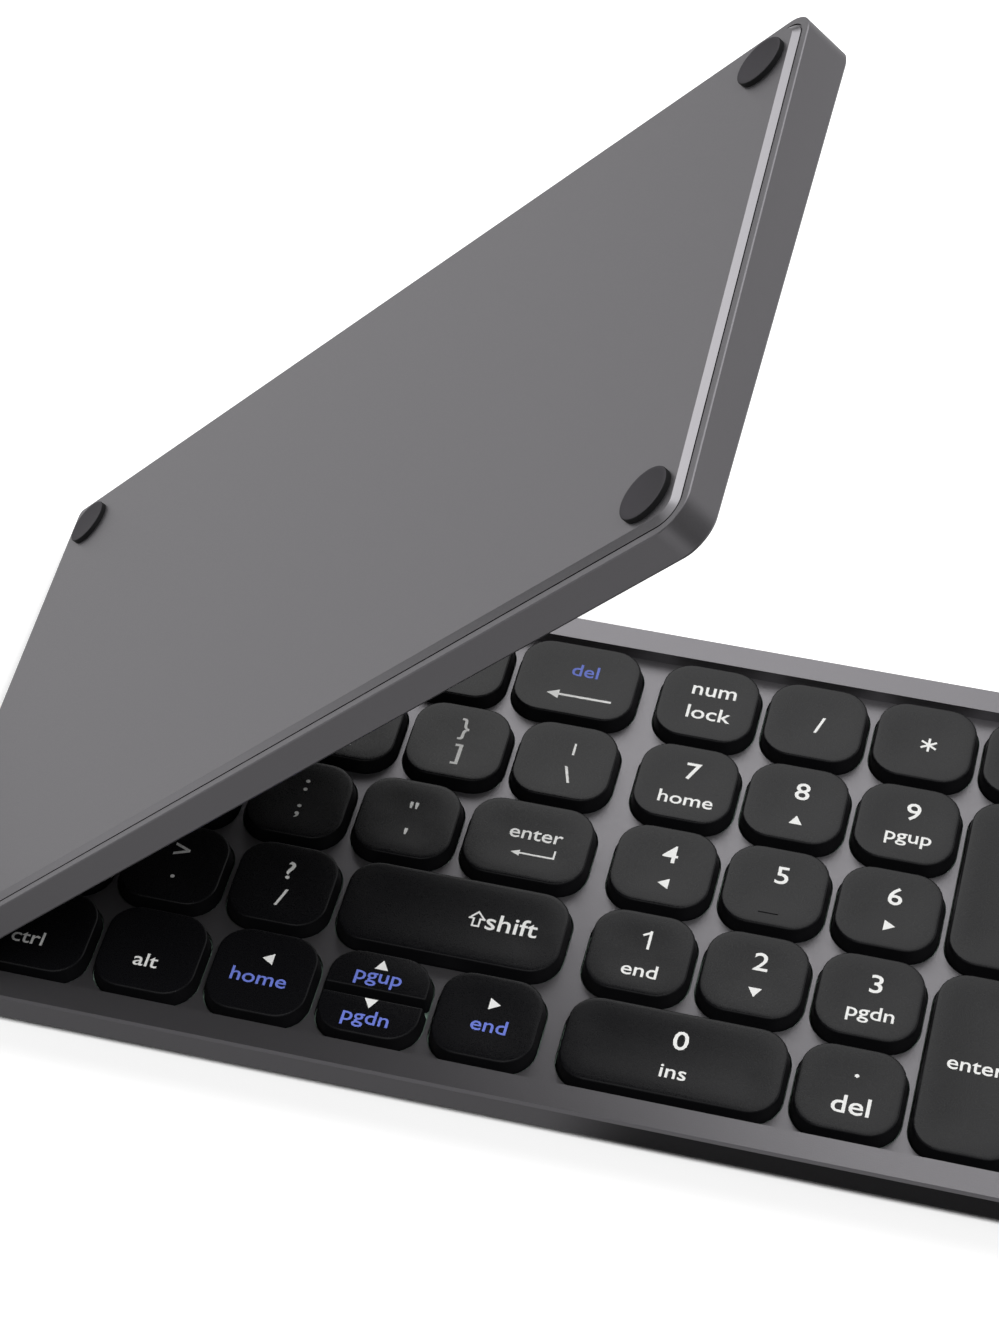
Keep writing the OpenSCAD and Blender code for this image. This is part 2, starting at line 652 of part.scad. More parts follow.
module base_frame() {
  stand() color(case_gray) difference() {
    half_case();
    for (c = pad_cells) key_hole(x_pad + (c[0] + c[2] / 2) * col_pitch,
      y_cells + (c[1] + c[3] / 2) * row_pitch, c[2] * col_pitch, c[3] * row_pitch);
    for (row = [0:row_count - 1], i = [0:len(base_rows[row])])
      key_hole(base_key_x(row, i), row_y(row), cell_size(base_rows[row], i, base_width), row_pitch);
    translate([usb_x, case_depth + 0.5, usb_z]) back_slot(usb_w + 0.1, usb_h + 0.1);
    // Slot and room of the power slider
    translate([switch_x - switch_slot[0] / 2, case_depth - 1.2, switch_z - switch_slot[1] / 2])
      cube([switch_slot[0], 2, switch_slot[1]]);
    translate([switch_x - switch_slot[0] / 2 - 1, case_depth - ledge_w - 1,
               switch_z - switch_slot[1] / 2 - 0.5])
      cube([switch_slot[0] + 2, ledge_w, switch_slot[1] + 1]);
    for (y = light_y) {
      translate([light_x, y, light_leg_z]) cylinder(r = light_r, h = far);
      translate([light_x - 2, y, light_leg_z]) rotate([0, 90, 0]) cylinder(r = light_r, h = 2);
      translate([light_x, y, light_leg_z]) sphere(r = light_r);
    }
  }
}

module base_bottom_cover() { stand() color(case_gray) half_cover(); }
module base_feet() { stand() color(rubber_black) half_feet(); }
module base_screws() { stand() color(steel) half_screws(); }

module base_switch_plate() {
  stand() color(steel) difference() {
    half_switch_plate();
    // Notch over the charging socket
    translate([usb_x - usb_w / 2 - 1, case_depth - usb_len - 1, plate_under - 1])
      cube([usb_w + 2, usb_len + 1, plate_t + 2]);
    // Notch behind the power slider
    translate([switch_x - 6, case_depth - ledge_w - 1.6, plate_under - 1])
      cube([12, 3, plate_t + 2]);
  }
}

module base_membrane() {
  stand() color(film_green) {
    difference() {
      half_membrane();
      translate([usb_x - usb_w / 2 - 1, case_depth - usb_len - 1, plate_z - 1])
        cube([usb_w + 2, usb_len + 1, membrane_t + 2]);
    }
    at_base_keys() dome();
    for (side = [-1, 1]) translate([base_key_x(0, 1), row_y(0) + side * row_pitch / 5, 0]) dome();
  }
}

module base_scissors() { stand() color("#d9d9d4") at_base_keys() scissor(); }

module battery() {
  battery_t = 1.7;
  top = plate_under - 0.1;
  stand() color("#c9cbd0") translate([18, case_depth - ledge_w - 1.5 - battery_w, top - battery_t])
    cube([battery_len, battery_w, battery_t]);
}

module main_board() {
  board_t = 0.8;
  y_back = case_depth - ledge_w - 0.4;
  z0 = usb_z - board_t / 2;
  chip_t = 0.6;
  stand() {
    color(board_green) difference() {
      translate([usb_x - board_len / 2, y_back - board_w, z0]) cube([board_len, board_w, board_t]);
      translate([usb_x - usb_w / 2 - 0.1, case_depth - usb_len - 0.1, z0 - 1])
        cube([usb_w + 0.2, usb_len, board_t + 2]);
    }
    color("#1c1c1e") translate([usb_x - 4, y_back - board_w + 4, z0 + board_t - 0.05])
      cube([6, 6, chip_t]);
    color("#1c1c1e") translate([usb_x - 17, y_back - board_w + 3, z0 + board_t - 0.05])
      cube([8, 5, chip_t]);
  }
}

module usb_socket() {
  shell = 0.3;
  stand() color(steel) {
    translate([usb_x, case_depth - 0.1, usb_z]) difference() {
      intersection() {
        back_slot(usb_w, usb_h);
        translate([-usb_w, -usb_len, -usb_h]) cube([2 * usb_w, usb_len, 2 * usb_h]);
      }
      translate([0, 0.5, 0]) intersection() {
        back_slot(usb_w - 2 * shell, usb_h - 2 * shell);
        translate([-usb_w, -usb_len + 1, -usb_h]) cube([2 * usb_w, usb_len, 2 * usb_h]);
      }
    }
    translate([usb_x - 3.35, case_depth - usb_len - 0.1 + 0.3, usb_z - 0.35]) cube([6.7, 5.2, 0.7]);
  }
}

module power_slider() {
  knob_x = switch_x - switch_slot[0] / 2 + 0.3;
  stem = 1.4;
  flange = [0.8, 1, 0.35];
  stand() color(key_black) {
    translate([knob_x, case_depth - stem, switch_z - knob_h / 2])
      cube([knob_w, stem + knob_proud, knob_h]);
    translate([knob_x - flange[0], case_depth - stem - flange[1], switch_z - knob_h / 2 - flange[2]])
      cube([knob_w + 2 * flange[0], flange[1] + 0.05, knob_h + 2 * flange[2]]);
  }
}

module status_lights() {
  r = light_r - 0.02;
  stand() color("#e8eef0") for (y = light_y) {
    translate([light_x, y, light_leg_z]) cylinder(r = r, h = -light_leg_z);
    translate([light_x - 1.8, y, light_leg_z]) rotate([0, 90, 0]) cylinder(r = r, h = 1.8);
    translate([light_x, y, light_leg_z]) sphere(r = r);
  }
}

module rim_bumpers() {
  bumper_h = 0.5;
  bumper_r = 1.1;
  stand() color(rubber_black) for (y = [9, case_depth - 9])
    translate([x_free_end - rim_w / 2, y, 0])
      rotate_extrude() polygon([[0, 0], [bumper_r, 0], [bumper_r, bumper_h - 0.2],
                                [bumper_r - 0.2, bumper_h], [0, bumper_h]]);
}

// Left half, drawn flat open and folded up

module on_lid() { stand() fold_lid() children(); }

module lid_frame() {
  on_lid() color(case_gray) difference() {
    mirror([1, 0, 0]) half_case();
    for (row = [0:row_count - 1], i = [0:len(lid_rows[row])])
      key_hole(lid_key_x(row, i), row_y(row), cell_size(lid_rows[row], i, lid_width), row_pitch);
  }
}
module lid_bottom_cover() { on_lid() mirror([1, 0, 0]) color(case_gray) half_cover(); }
module lid_feet() { on_lid() mirror([1, 0, 0]) color(rubber_black) half_feet(); }
module lid_screws() { on_lid() mirror([1, 0, 0]) color(steel) half_screws(); }
module lid_switch_plate() { on_lid() mirror([1, 0, 0]) color(steel) half_switch_plate(); }
module lid_membrane() {
  on_lid() color(film_green) {
    mirror([1, 0, 0]) half_membrane();
    at_lid_keys() dome();
  }
}
module lid_scissors() { on_lid() color("#d9d9d4") at_lid_keys() scissor(); }

base_frame();
base_bottom_cover();
base_feet();
base_screws();
base_switch_plate();
base_membrane();
base_scissors();
battery();
main_board();
usb_socket();
power_slider();
status_lights();
rim_bumpers();
base_hinge_gears();
hinge_links();
flex_cable();
lid_hinge_gears();
lid_frame();
lid_bottom_cover();
lid_feet();
lid_screws();
lid_switch_plate();
lid_membrane();
lid_scissors();
pad_key(0);  // key_0
pad_key(1);  // key_decimal
pad_key(2);  // key_pad_enter
pad_key(3);  // key_1
pad_key(4);  // key_2
pad_key(5);  // key_3
pad_key(6);  // key_4
pad_key(7);  // key_5
pad_key(8);  // key_6
pad_key(9);  // key_plus
pad_key(10);  // key_7
pad_key(11);  // key_8
pad_key(12);  // key_9
pad_key(13);  // key_num_lock
pad_key(14);  // key_divide
pad_key(15);  // key_multiply
pad_key(16);  // key_minus
base_keys(0, 0, 0);  // key_right_arrow
arrow_key(1);  // key_up_arrow
arrow_key(-1);  // key_down_arrow
base_keys(0, 2, 2);  // key_left_arrow
base_keys(0, 3, 4);  // base_modifier_keys
base_keys(1, 0, 0);  // key_right_shift
base_keys(1, 1, 3);  // base_lower_letter_keys
base_keys(2, 0, 0);  // key_enter
base_keys(2, 1, 4);  // base_home_row_keys
base_keys(3, 0, 0);  // key_backslash
base_keys(3, 1, 4);  // base_upper_letter_keys
base_keys(4, 0, 0);  // key_backspace
base_keys(4, 1, 4);  // base_digit_keys
lid_keys(0);  // lid_modifier_keys
lid_keys(1);  // lid_lower_letter_keys
lid_keys(2);  // lid_home_row_keys
lid_keys(3);  // lid_upper_letter_keys
lid_keys(4);  // lid_digit_keys
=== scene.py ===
"""Folding keyboard with a number pad, half open on a white table.

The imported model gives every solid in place. The metal shells and covers are shown as merged copies
of those solids, and the sheets, lever pairs and ribbon as parts of them. Small rigid parts are the
solids themselves. The keycaps, legends, feet and domes are surfaces worked out here.
Lengths are millimetres in the deck frame until a piece is placed: X = 0 midway between the open
halves, Y = 0 at the front edge, Z = 0 on the rim. right() and left() take them to the row frame.
"""

import math

import bmesh
import bpy
import numpy as np
from mathutils import Matrix, Vector
from mathutils.bvhtree import BVHTree


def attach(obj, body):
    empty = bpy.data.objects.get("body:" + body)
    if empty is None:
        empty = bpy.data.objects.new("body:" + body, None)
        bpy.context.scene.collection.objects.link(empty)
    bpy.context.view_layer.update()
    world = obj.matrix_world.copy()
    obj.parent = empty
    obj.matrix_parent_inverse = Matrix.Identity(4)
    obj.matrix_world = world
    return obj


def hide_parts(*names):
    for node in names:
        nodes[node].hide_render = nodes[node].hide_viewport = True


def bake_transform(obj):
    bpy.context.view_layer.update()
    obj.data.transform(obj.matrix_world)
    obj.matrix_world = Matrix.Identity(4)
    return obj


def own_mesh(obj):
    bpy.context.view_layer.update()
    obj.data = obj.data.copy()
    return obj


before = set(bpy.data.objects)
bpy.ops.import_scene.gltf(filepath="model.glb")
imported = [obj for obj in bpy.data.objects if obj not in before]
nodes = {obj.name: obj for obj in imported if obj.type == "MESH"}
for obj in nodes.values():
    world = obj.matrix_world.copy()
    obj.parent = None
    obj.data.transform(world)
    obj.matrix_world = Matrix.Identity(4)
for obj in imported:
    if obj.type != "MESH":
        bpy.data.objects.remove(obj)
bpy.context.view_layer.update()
MM = 0.001

# ---------------------------------------------------------------- sizes, as in the part's source

COL, ROW = 17.55, 17.0
RIM_W, MARGIN, HINGE_RIM_W = 4.7, 0.5, 3.05
FRONT_H, BACK_H = 5.0, 7.9
CORNER_R = 4.7
COVER_BEVEL = 1.0
DECK_DEPTH, SKIRT_DROP = 2.3, 0.25
KEY_GAP, KEY_R, KEY_PROUD = 1.05, 5.0, 0.3
KEY_DRAFT, KEY_ROUND, KEY_TOP_T = 0.42, 0.33, 1.0
ARROW_SPLIT = 0.7
BLOCK_COLS, PAD_COLS, PAD_GAP = 5.2, 4, 2.0
ROWS = 5
PLATE_DEPTH, MEMBRANE_T = 4.4, 0.25
DOME_R, DOME_WALL, DOME_GAP = 2.0, 0.35, 0.45
COVER_PROUD, FOOT_T, FOOT_D, FOOT_INSET = 0.64, 0.8, 8.0, 7.35
AXIS_DEPTH, CLOSED_GAP, LID_ANGLE = 2.9, 0.8, 47.0
KNOB_PROUD, KNOB_H, SWITCH_Z = 0.7, 1.7, -4.6

LINK = 2 * AXIS_DEPTH + CLOSED_GAP
X_HINGE_END = CLOSED_GAP / 2
X_AXIS = X_HINGE_END + AXIS_DEPTH
X_CELLS = X_HINGE_END + HINGE_RIM_W
X_BLOCK_END = X_CELLS + BLOCK_COLS * COL
X_PAD = X_BLOCK_END + PAD_GAP
X_CELLS_END = X_PAD + PAD_COLS * COL
X_FREE_END = X_CELLS_END + MARGIN + RIM_W
CASE_DEPTH = 2 * (RIM_W + MARGIN) + ROWS * ROW
Y_CELLS = RIM_W + MARGIN
WEDGE = math.atan((BACK_H - FRONT_H) / CASE_DEPTH)
SLOPE_DEPTH = CASE_DEPTH / math.cos(WEDGE)

LEAN = math.radians(LID_ANGLE / 2)
LINK_TURN = math.radians((180 - LID_ANGLE) / 2)
LID = math.radians(LID_ANGLE)
LID_AXIS_X = X_AXIS - LINK * math.sin(LEAN)
LID_AXIS_Z = -AXIS_DEPTH + LINK * math.cos(LEAN)
X_LOW = LID_AXIS_X - AXIS_DEPTH * math.cos(LID) - (BACK_H - AXIS_DEPTH) * math.sin(LID)
LID_REACH = X_FREE_END - X_HINGE_END - AXIS_DEPTH - CORNER_R
LID_TOP = LID_AXIS_Z + LID_REACH * math.sin(LID) + (FRONT_H - AXIS_DEPTH) * math.cos(LID)
Y_LOW = -LID_TOP * math.sin(WEDGE)
Y_HIGH = ((CASE_DEPTH + KNOB_PROUD) * math.cos(WEDGE)
          + (KNOB_H / 2 - SWITCH_Z) * math.sin(WEDGE))
STAND_H = FRONT_H * math.cos(WEDGE) + COVER_PROUD + FOOT_T


# ---------------------------------------------------------------- placing

def turn_x(points, angle):
    """Points turned about the X axis."""
    c, s = math.cos(angle), math.sin(angle)
    return points @ np.array([[1, 0, 0], [0, c, s], [0, -s, c]])


def turn_y_about(points, x, z, angle):
    """Points turned about the line along Y through (x, z), so that +Z leans towards +X."""
    c, s = math.cos(angle), math.sin(angle)
    dx, dz = points[:, 0] - x, points[:, 2] - z
    return np.stack([x + dx * c + dz * s, points[:, 1], z - dx * s + dz * c], 1)


def right(points):
    """Deck frame to row frame, in metres, for the right half."""
    moved = turn_x(np.asarray(points, float), WEDGE)
    return (moved + [-(X_LOW + X_FREE_END) / 2, -(Y_LOW + Y_HIGH) / 2, STAND_H]) * MM


def left(points):
    """Deck frame to row frame for the left half, drawn flat open: it turns once about each axis."""
    moved = turn_y_about(np.asarray(points, float), -X_AXIS, -AXIS_DEPTH, LINK_TURN)
    return right(turn_y_about(moved, X_AXIS, -AXIS_DEPTH, LINK_TURN))


def on_bottom(points):
    """Frame of the sloping underside, Z = 0 on the wall's lower edge, to the deck frame."""
    return turn_x(np.asarray(points, float), -WEDGE) + [0, 0, -FRONT_H]


def mirrored(points):
    """The same place on the other half."""
    return np.asarray(points, float) * [-1, 1, 1]


# ---------------------------------------------------------------- materials

def linear(hex_colour):
    """sRGB hex to the linear colour that the shader takes."""
    value = np.array([int(hex_colour[i:i + 2], 16) for i in (1, 3, 5)]) / 255
    out = np.where(value <= 0.04045, value / 12.92, ((value + 0.055) / 1.055) ** 2.4)
    return (*out, 1.0)


def node(tree, kind, settings=None, **links):
    """Adds a node. settings holds attributes and input values, links the sockets that feed it."""
    made = tree.nodes.new(kind)
    for key, value in (settings or {}).items():
        if isinstance(key, str) and hasattr(made, key):
            setattr(made, key, value)
        else:
            made.inputs[key].default_value = value
    for key, source in links.items():
        place = int(key[1:]) if key[0] == "i" and key[1:].isdigit() else key.replace("_", " ")
        tree.links.new(source, made.inputs[place])
    return made


def material(name, colour, metallic, roughness, **sockets):
    """A Principled material with its uniform values on its own sockets, and its tree and shader."""
    made = bpy.data.materials.new(name)
    made.use_nodes = True
    shader = made.node_tree.nodes["Principled BSDF"]
    shader.inputs["Base Color"].default_value = linear(colour)
    shader.inputs["Metallic"].default_value = metallic
    shader.inputs["Roughness"].default_value = roughness
    for key, value in sockets.items():
        shader.inputs[key.replace("_", " ")].default_value = value
    return made, made.node_tree, shader


def blend_colours(tree, factor, low, high):
    """Output of a mix from one hex colour to another."""
    mix = node(tree, "ShaderNodeMix", {"data_type": "RGBA"}, Factor=factor)
    ends = [s for s in mix.inputs if s.type == "RGBA"]
    ends[0].default_value, ends[1].default_value = linear(low), linear(high)
    return [s for s in mix.outputs if s.type == "RGBA"][0]


def grain(tree, shader, per_mm, depth_mm, detail=2.0, rough_spread=0.0, base_rough=0.5,
          tint=None):
    """Fine surface grain in Object coordinates: noise per_mm bumps to the millimetre drives the
    normal, and where asked the roughness and a slight change of colour between two hex tints."""
    place = node(tree, "ShaderNodeTexCoord").outputs["Object"]
    noise = node(tree, "ShaderNodeTexNoise", {"Scale": per_mm * 1000, "Detail": detail},
                 Vector=place)
    bump = node(tree, "ShaderNodeBump", {"Strength": 1.0, "Distance": depth_mm * MM},
                Height=noise.outputs["Fac"])
    tree.links.new(bump.outputs["Normal"], shader.inputs["Normal"])
    if rough_spread:
        spread = node(tree, "ShaderNodeMapRange",
                      {"From Min": 0.3, "From Max": 0.7, "To Min": base_rough - rough_spread,
                       "To Max": base_rough + rough_spread}, Value=noise.outputs["Fac"])
        tree.links.new(spread.outputs["Result"], shader.inputs["Roughness"])
    if tint:
        tree.links.new(blend_colours(tree, noise.outputs["Fac"], *tint),
                       shader.inputs["Base Color"])


def anodised_aluminium():
    """Aluminium, bead-blasted and dyed dark grey: an even satin sheen with no direction.
    Blast marks are about 0.1 mm across; they are drawn 0.25 mm across so that they show."""
    made, tree, shader = material("bead_blasted_anodised_aluminium", "#8d8b8f", 0.9, 0.42)
    grain(tree, shader, 4.0, 0.012, 3.0, 0.05, 0.42, ("#888689", "#929094"))
    return made


def cut_aluminium(name, colour, low, high, roughness):
    """The bevels and edges, cut after blasting and dyed with the rest: smoother, so that they catch
    light as fine lines, and given a lighter colour, which on the cover's bevel is a painted
    highlight. Cutter marks 0.05 mm apart are drawn 0.2 mm apart."""
    made, tree, shader = material(name, colour, 1.0, roughness)
    grain(tree, shader, 5.0, 0.004, 2.0, 0.04, roughness, (low, high))
    return made


def joint_painted_shade():
    """Black matt finish on the walls of the joint round a cover: painted shade, so that the gap
    shows black and lets no light through. Its skin is lightly pitted, about 0.3 mm across."""
    made, tree, shader = material("black_painted_shade_in_joint", "#0b0b0c", 0.0, 0.8, IOR=1.5,
                                  Specular_IOR_Level=0.2)
    grain(tree, shader, 3.0, 0.01, 2.0, 0.05, 0.8, ("#09090a", "#0e0e0f"))
    return made


def keycap_abs():
    """ABS moulded black with a spark-eroded skin: soft matte, grains about 0.15 mm across."""
    made, tree, shader = material("spark_textured_black_abs", "#0c0c0e", 0.0, 0.3, IOR=1.53,
                                  Specular_IOR_Level=0.36)
    grain(tree, shader, 7.0, 0.008, 2.0, 0.06, 0.3, ("#0a0a0c", "#0f0f11"))
    return made


def skirt_abs_painted_shade():
    """The same black ABS on the drawn sides of a key, with weaker and rougher reflection than the
    tops: the deep black that gives is painted shade. The faint drag lines of ejection run upright."""
    made, tree, shader = material("black_abs_painted_shade", "#0d0d0e", 0.0, 0.5, IOR=1.53,
                                  Specular_IOR_Level=0.15)
    grain(tree, shader, 3.0, 0.003, 2.0, 0.05, 0.5, ("#0b0b0c", "#111113"))
    return made


def legend_ink():
    """White pad-printed ink: opaque and slightly glossy, a little uneven."""
    made, tree, shader = material("white_pad_print_ink", "#f0f0ee", 0.0, 0.45, IOR=1.5)
    grain(tree, shader, 3.0, 0.002, 2.0, 0, 0, ("#eaeae8", "#f6f6f4"))
    return made


def blue_ink():
    """Blue pad-printed ink for the second layer's words."""
    made, tree, shader = material("blue_pad_print_ink", "#7080d8", 0.0, 0.45, IOR=1.5)
    grain(tree, shader, 3.0, 0.002, 2.0, 0, 0, ("#6878d0", "#7888e0"))
    return made


def silicone_rubber(name, colour, low, high):
    """Black silicone rubber: dull, with a fine bloom of dust-like grain about 0.2 mm across. On the
    feet, a greyer copy on the faces and a blacker one on the sides are painted light and shade."""
    made, tree, shader = material(name, colour, 0.0, 0.72, IOR=1.42)
    grain(tree, shader, 5.0, 0.01, 3.0, 0.05, 0.72, (low, high))
    return made


def lines_along_x(tree, shader, length_mm, apart_mm, detail, strength):
    """Scratches or rolling lines along X: noise stretched to that length and spacing drives the
    normal, 0.004 mm deep at full strength."""
    place = node(tree, "ShaderNodeTexCoord").outputs["Object"]
    run = node(tree, "ShaderNodeMapping",
               {"Scale": (1 / (length_mm * MM), 1 / (apart_mm * MM), 1 / (apart_mm * MM))},
               Vector=place)
    noise = node(tree, "ShaderNodeTexNoise", {"Scale": 1.0, "Detail": detail},
                 Vector=run.outputs["Vector"])
    bump = node(tree, "ShaderNodeBump", {"Strength": strength, "Distance": 0.004 * MM},
                Height=noise.outputs["Fac"])
    tree.links.new(bump.outputs["Normal"], shader.inputs["Normal"])


def ground_steel():
    """Steel, hardened and ground: bright, with scratches 2.5 mm long and 0.11 mm apart."""
    made, tree, shader = material("ground_steel", "#a4a5a8", 1.0, 0.3)
    lines_along_x(tree, shader, 1 / 0.4, 1 / 9.0, 3.0, 0.6)
    return made


def rolled_steel():
    """Stainless sheet, rolled and stamped: satin, with faint rolling lines 0.3 mm apart."""
    made, tree, shader = material("rolled_stainless_sheet", "#9d9ea1", 1.0, 0.38)
    lines_along_x(tree, shader, 1 / 0.12, 1 / 3.3, 2.0, 0.5)
    return made


def membrane_silicone():
    """Printed polyester film with silicone domes: milky green-grey and faintly glossy."""
    made, tree, shader = material("polyester_film_with_silicone_domes", "#8fa89a", 0.0, 0.4,
                                  IOR=1.45)
    grain(tree, shader, 1.2, 0.01, 2.0, 0.05, 0.4, ("#869f91", "#99b1a4"))
    return made


def nylon():
    """Natural nylon, moulded: off-white and waxy."""
    made, tree, shader = material("natural_nylon", "#d9d8d2", 0.0, 0.42, IOR=1.53)
    grain(tree, shader, 2.5, 0.006, 2.0, 0.04, 0.42, ("#d2d1ca", "#e0dfda"))
    return made


def pouch_foil():
    """Laminated aluminium foil of a pouch cell: silvery, with shallow creases 4 mm apart."""
    made, tree, shader = material("laminated_pouch_foil", "#c3c5c8", 1.0, 0.34)
    grain(tree, shader, 0.25, 0.05, 4.0, 0.08, 0.34)
    return made


def circuit_board():
    """Glass-fibre board under green solder mask: glossy, with a 0.5 mm weave just showing."""
    made, tree, shader = material("solder_masked_glass_fibre", "#1f4d33", 0.0, 0.28, IOR=1.55)
    grain(tree, shader, 2.0, 0.008, 1.0, 0.05, 0.28, ("#1b462e", "#265a3c"))
    return made


def nickel_plate():
    """Nickel-plated steel shell of a socket: bright, warm grey, faintly mottled."""
    made, tree, shader = material("nickel_plated_steel", "#b4b1ab", 1.0, 0.24)
    grain(tree, shader, 1.5, 0.004, 2.0, 0.05, 0.24)
    return made


def clear_acrylic():
    """Clear acrylic light pipe: polished, with hair-thin scuffs."""
    made, tree, shader = material("clear_acrylic", "#e9eef0", 0.0, 0.12, IOR=1.49,
                                  Transmission_Weight=0.6)
    grain(tree, shader, 3.0, 0.002, 2.0, 0.04, 0.12)
    return made


def polyimide():
    """Polyimide flat cable: translucent amber over copper tracks, glossy."""
    made, tree, shader = material("polyimide_film", "#a8682a", 0.0, 0.26, IOR=1.6)
    place = node(tree, "ShaderNodeTexCoord").outputs["Object"]
    # Copper tracks 1.6 mm apart run across the hinge, so their bands repeat along Y
    tracks = node(tree, "ShaderNodeTexWave", {"bands_direction": "Y", "Scale": 196.0},
                  Vector=place)
    tree.links.new(blend_colours(tree, tracks.outputs["Fac"], "#8a4f1c", "#b9772f"),
                   shader.inputs["Base Color"])
    return made


ALUMINIUM = anodised_aluminium()
# The cover's bevel: smoother cut metal, and its lighter colour is a painted highlight
BEVEL_PAINTED_HIGHLIGHT = cut_aluminium("bevel_aluminium_painted_highlight", "#a4a2a6", "#9e9ca0", "#aaa8ac", 0.32)
CUT_EDGE = cut_aluminium("chamfered_anodised_aluminium", "#8f8d91", "#89878b", "#959397", 0.42)
# Painted shade: black on the walls of the joint round each cover, so that the gap shows dark
JOINT_PAINTED_SHADE = joint_painted_shade()
ABS = keycap_abs()
# Painted shade: the keys' sides take a less reflective copy of the caps' ABS, so that they look deep
# black
SKIRT_PAINTED_SHADE = skirt_abs_painted_shade()
WHITE_INK = legend_ink()
BLUE_INK = blue_ink()
RUBBER = silicone_rubber("black_silicone_rubber", "#4a484c", "#454347", "#504e52")
# Painted shade: the blacker copy for the feet's sides
RUBBER_PAINTED_SHADE = silicone_rubber("black_silicone_painted_shade", "#101011", "#0d0d0e", "#141415")
STEEL = ground_steel()
SHEET_STEEL = rolled_steel()
MEMBRANE = membrane_silicone()
NYLON = nylon()
FOIL = pouch_foil()
BOARD = circuit_board()
NICKEL = nickel_plate()
ACRYLIC = clear_acrylic()
POLYIMIDE = polyimide()


# ---------------------------------------------------------------- making pieces

MERGE_DIST = 2e-6


def shown(name, mesh, replaced=()):
    """An object for a finished mesh, at the origin and what it stands for."""
    made = bpy.data.objects.new(name, mesh)
    bpy.context.scene.collection.objects.link(made)
    if replaced:
        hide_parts(*replaced)
    return made


def finished(mesh, finishes, which=None, sharp=None):
    """Gives a mesh its finishes, each face's by its number in which. Where a sharp angle is given,
    shades it smooth except past that angle."""
    mesh.materials.clear()
    for finish in finishes:
        mesh.materials.append(finish)
    if which is not None:
        mesh.polygons.foreach_set("material_index", np.asarray(which, np.int32))
    if sharp is not None:
        mesh.shade_smooth()
        mesh.set_sharp_from_angle(angle=math.radians(sharp))
    return mesh


def piece(name, body, points, faces, finishes, replaced=(), sharp=32, which=None):
    """A mesh of points already in the row frame."""
    mesh = bpy.data.meshes.new(name)
    mesh.from_pydata(np.asarray(points, float).tolist(), [], faces)
    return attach(shown(name, finished(mesh, finishes, which, sharp), replaced), body)


def merged(cad_node):
    """The solid's own triangles with their doubles merged."""
    solid = bmesh.new()
    solid.from_mesh(nodes[cad_node].data)
    bmesh.ops.remove_doubles(solid, verts=solid.verts, dist=MERGE_DIST)
    return solid


def plain_mesh(solid, name):
    """The mesh of a bmesh, without the normals that came with the solid."""
    mesh = bpy.data.meshes.new(name)
    solid.to_mesh(mesh)
    solid.free()
    if "custom_normal" in mesh.attributes:
        mesh.attributes.remove(mesh.attributes["custom_normal"])
    return mesh


def merged_copy(name, body, cad_node, finishes, choose, sharp=28):
    """The whole solid, with its curves shaded smooth. choose gives each face's finish by its
    middle, in millimetres, and its normal."""
    solid = merged(cad_node)
    bmesh.ops.dissolve_degenerate(solid, edges=solid.edges, dist=MERGE_DIST / 2)
    mesh = plain_mesh(solid, name)
    count = len(mesh.polygons)
    middles, normals = np.empty(count * 3), np.empty(count * 3)
    mesh.polygons.foreach_get("center", middles)
    mesh.polygons.foreach_get("normal", normals)
    which = choose(middles.reshape(-1, 3) / MM, normals.reshape(-1, 3))
    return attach(shown(name, finished(mesh, finishes, which, sharp), [cad_node]), body)


def part_of(cad_node, name, finish, keep=None, cut=None):
    """Part of a solid, closed: the faces whose middle, in metres, passes keep, or what lies behind
    the cut, a point and a direction. Each hole that is left is filled. It rides on nothing yet."""
    part = merged(cad_node)
    if cut:
        bmesh.ops.bisect_plane(part, geom=part.verts[:] + part.edges[:] + part.faces[:],
                               dist=MERGE_DIST / 20, plane_co=cut[0], plane_no=cut[1],
                               clear_outer=True)
    if keep:
        stays = keep(np.array([face.calc_center_median() for face in part.faces]))
        bmesh.ops.delete(part, geom=[f for f, stay in zip(part.faces, stays) if not stay],
                         context="FACES")
    bmesh.ops.holes_fill(part, edges=[e for e in part.edges if e.is_boundary], sides=0)
    bmesh.ops.recalc_face_normals(part, faces=part.faces)
    return shown(name, finished(plain_mesh(part, name), [finish]), [cad_node])


def dress(cad_node, finish):
    """Gives a CAD node its finish in place of the plain one."""
    mesh = nodes[cad_node].data
    mesh.materials.clear()
    mesh.materials.append(finish)


def ring_faces(rings, around):
    """Quads between rings of points that close round, each ring's points in the same order, and a
    flat face over the first and the last ring. They look outwards where the rings go up."""
    i = np.arange(rings - 1)[:, None] * around
    j = np.arange(around)[None, :]
    k = (j + 1) % around
    quads = np.stack([i + j, i + k, i + around + k, i + around + j], -1).reshape(-1, 4)
    last = (rings - 1) * around
    return quads.tolist() + [list(range(around))[::-1], [last + i for i in range(around)]]


# ---------------------------------------------------------------- keycaps

CORNER_STEPS, SIDE_STEPS, ROUND_STEPS = 8, 3, 6
SKIRT_Z = -DECK_DEPTH - SKIRT_DROP
# Inset and height of the rings of a cap's inside wall, from the underside's edge out and down
INSIDE_WALL = [(1.6, KEY_PROUD - KEY_TOP_T), (1.1, KEY_PROUD - KEY_TOP_T - 0.3), (0.9, SKIRT_Z)]
# The dish ends at this share of the way to a cap's edge. Its rings are at these shares.
DISH_DEPTH, DISH_EDGE = 0.16, 0.86
DISH_RINGS = [0.94, DISH_EDGE, 0.78, 0.68, 0.56, 0.42, 0.27, 0.12]
TIGHT_R, ARROW_R = 0.2, 0.6


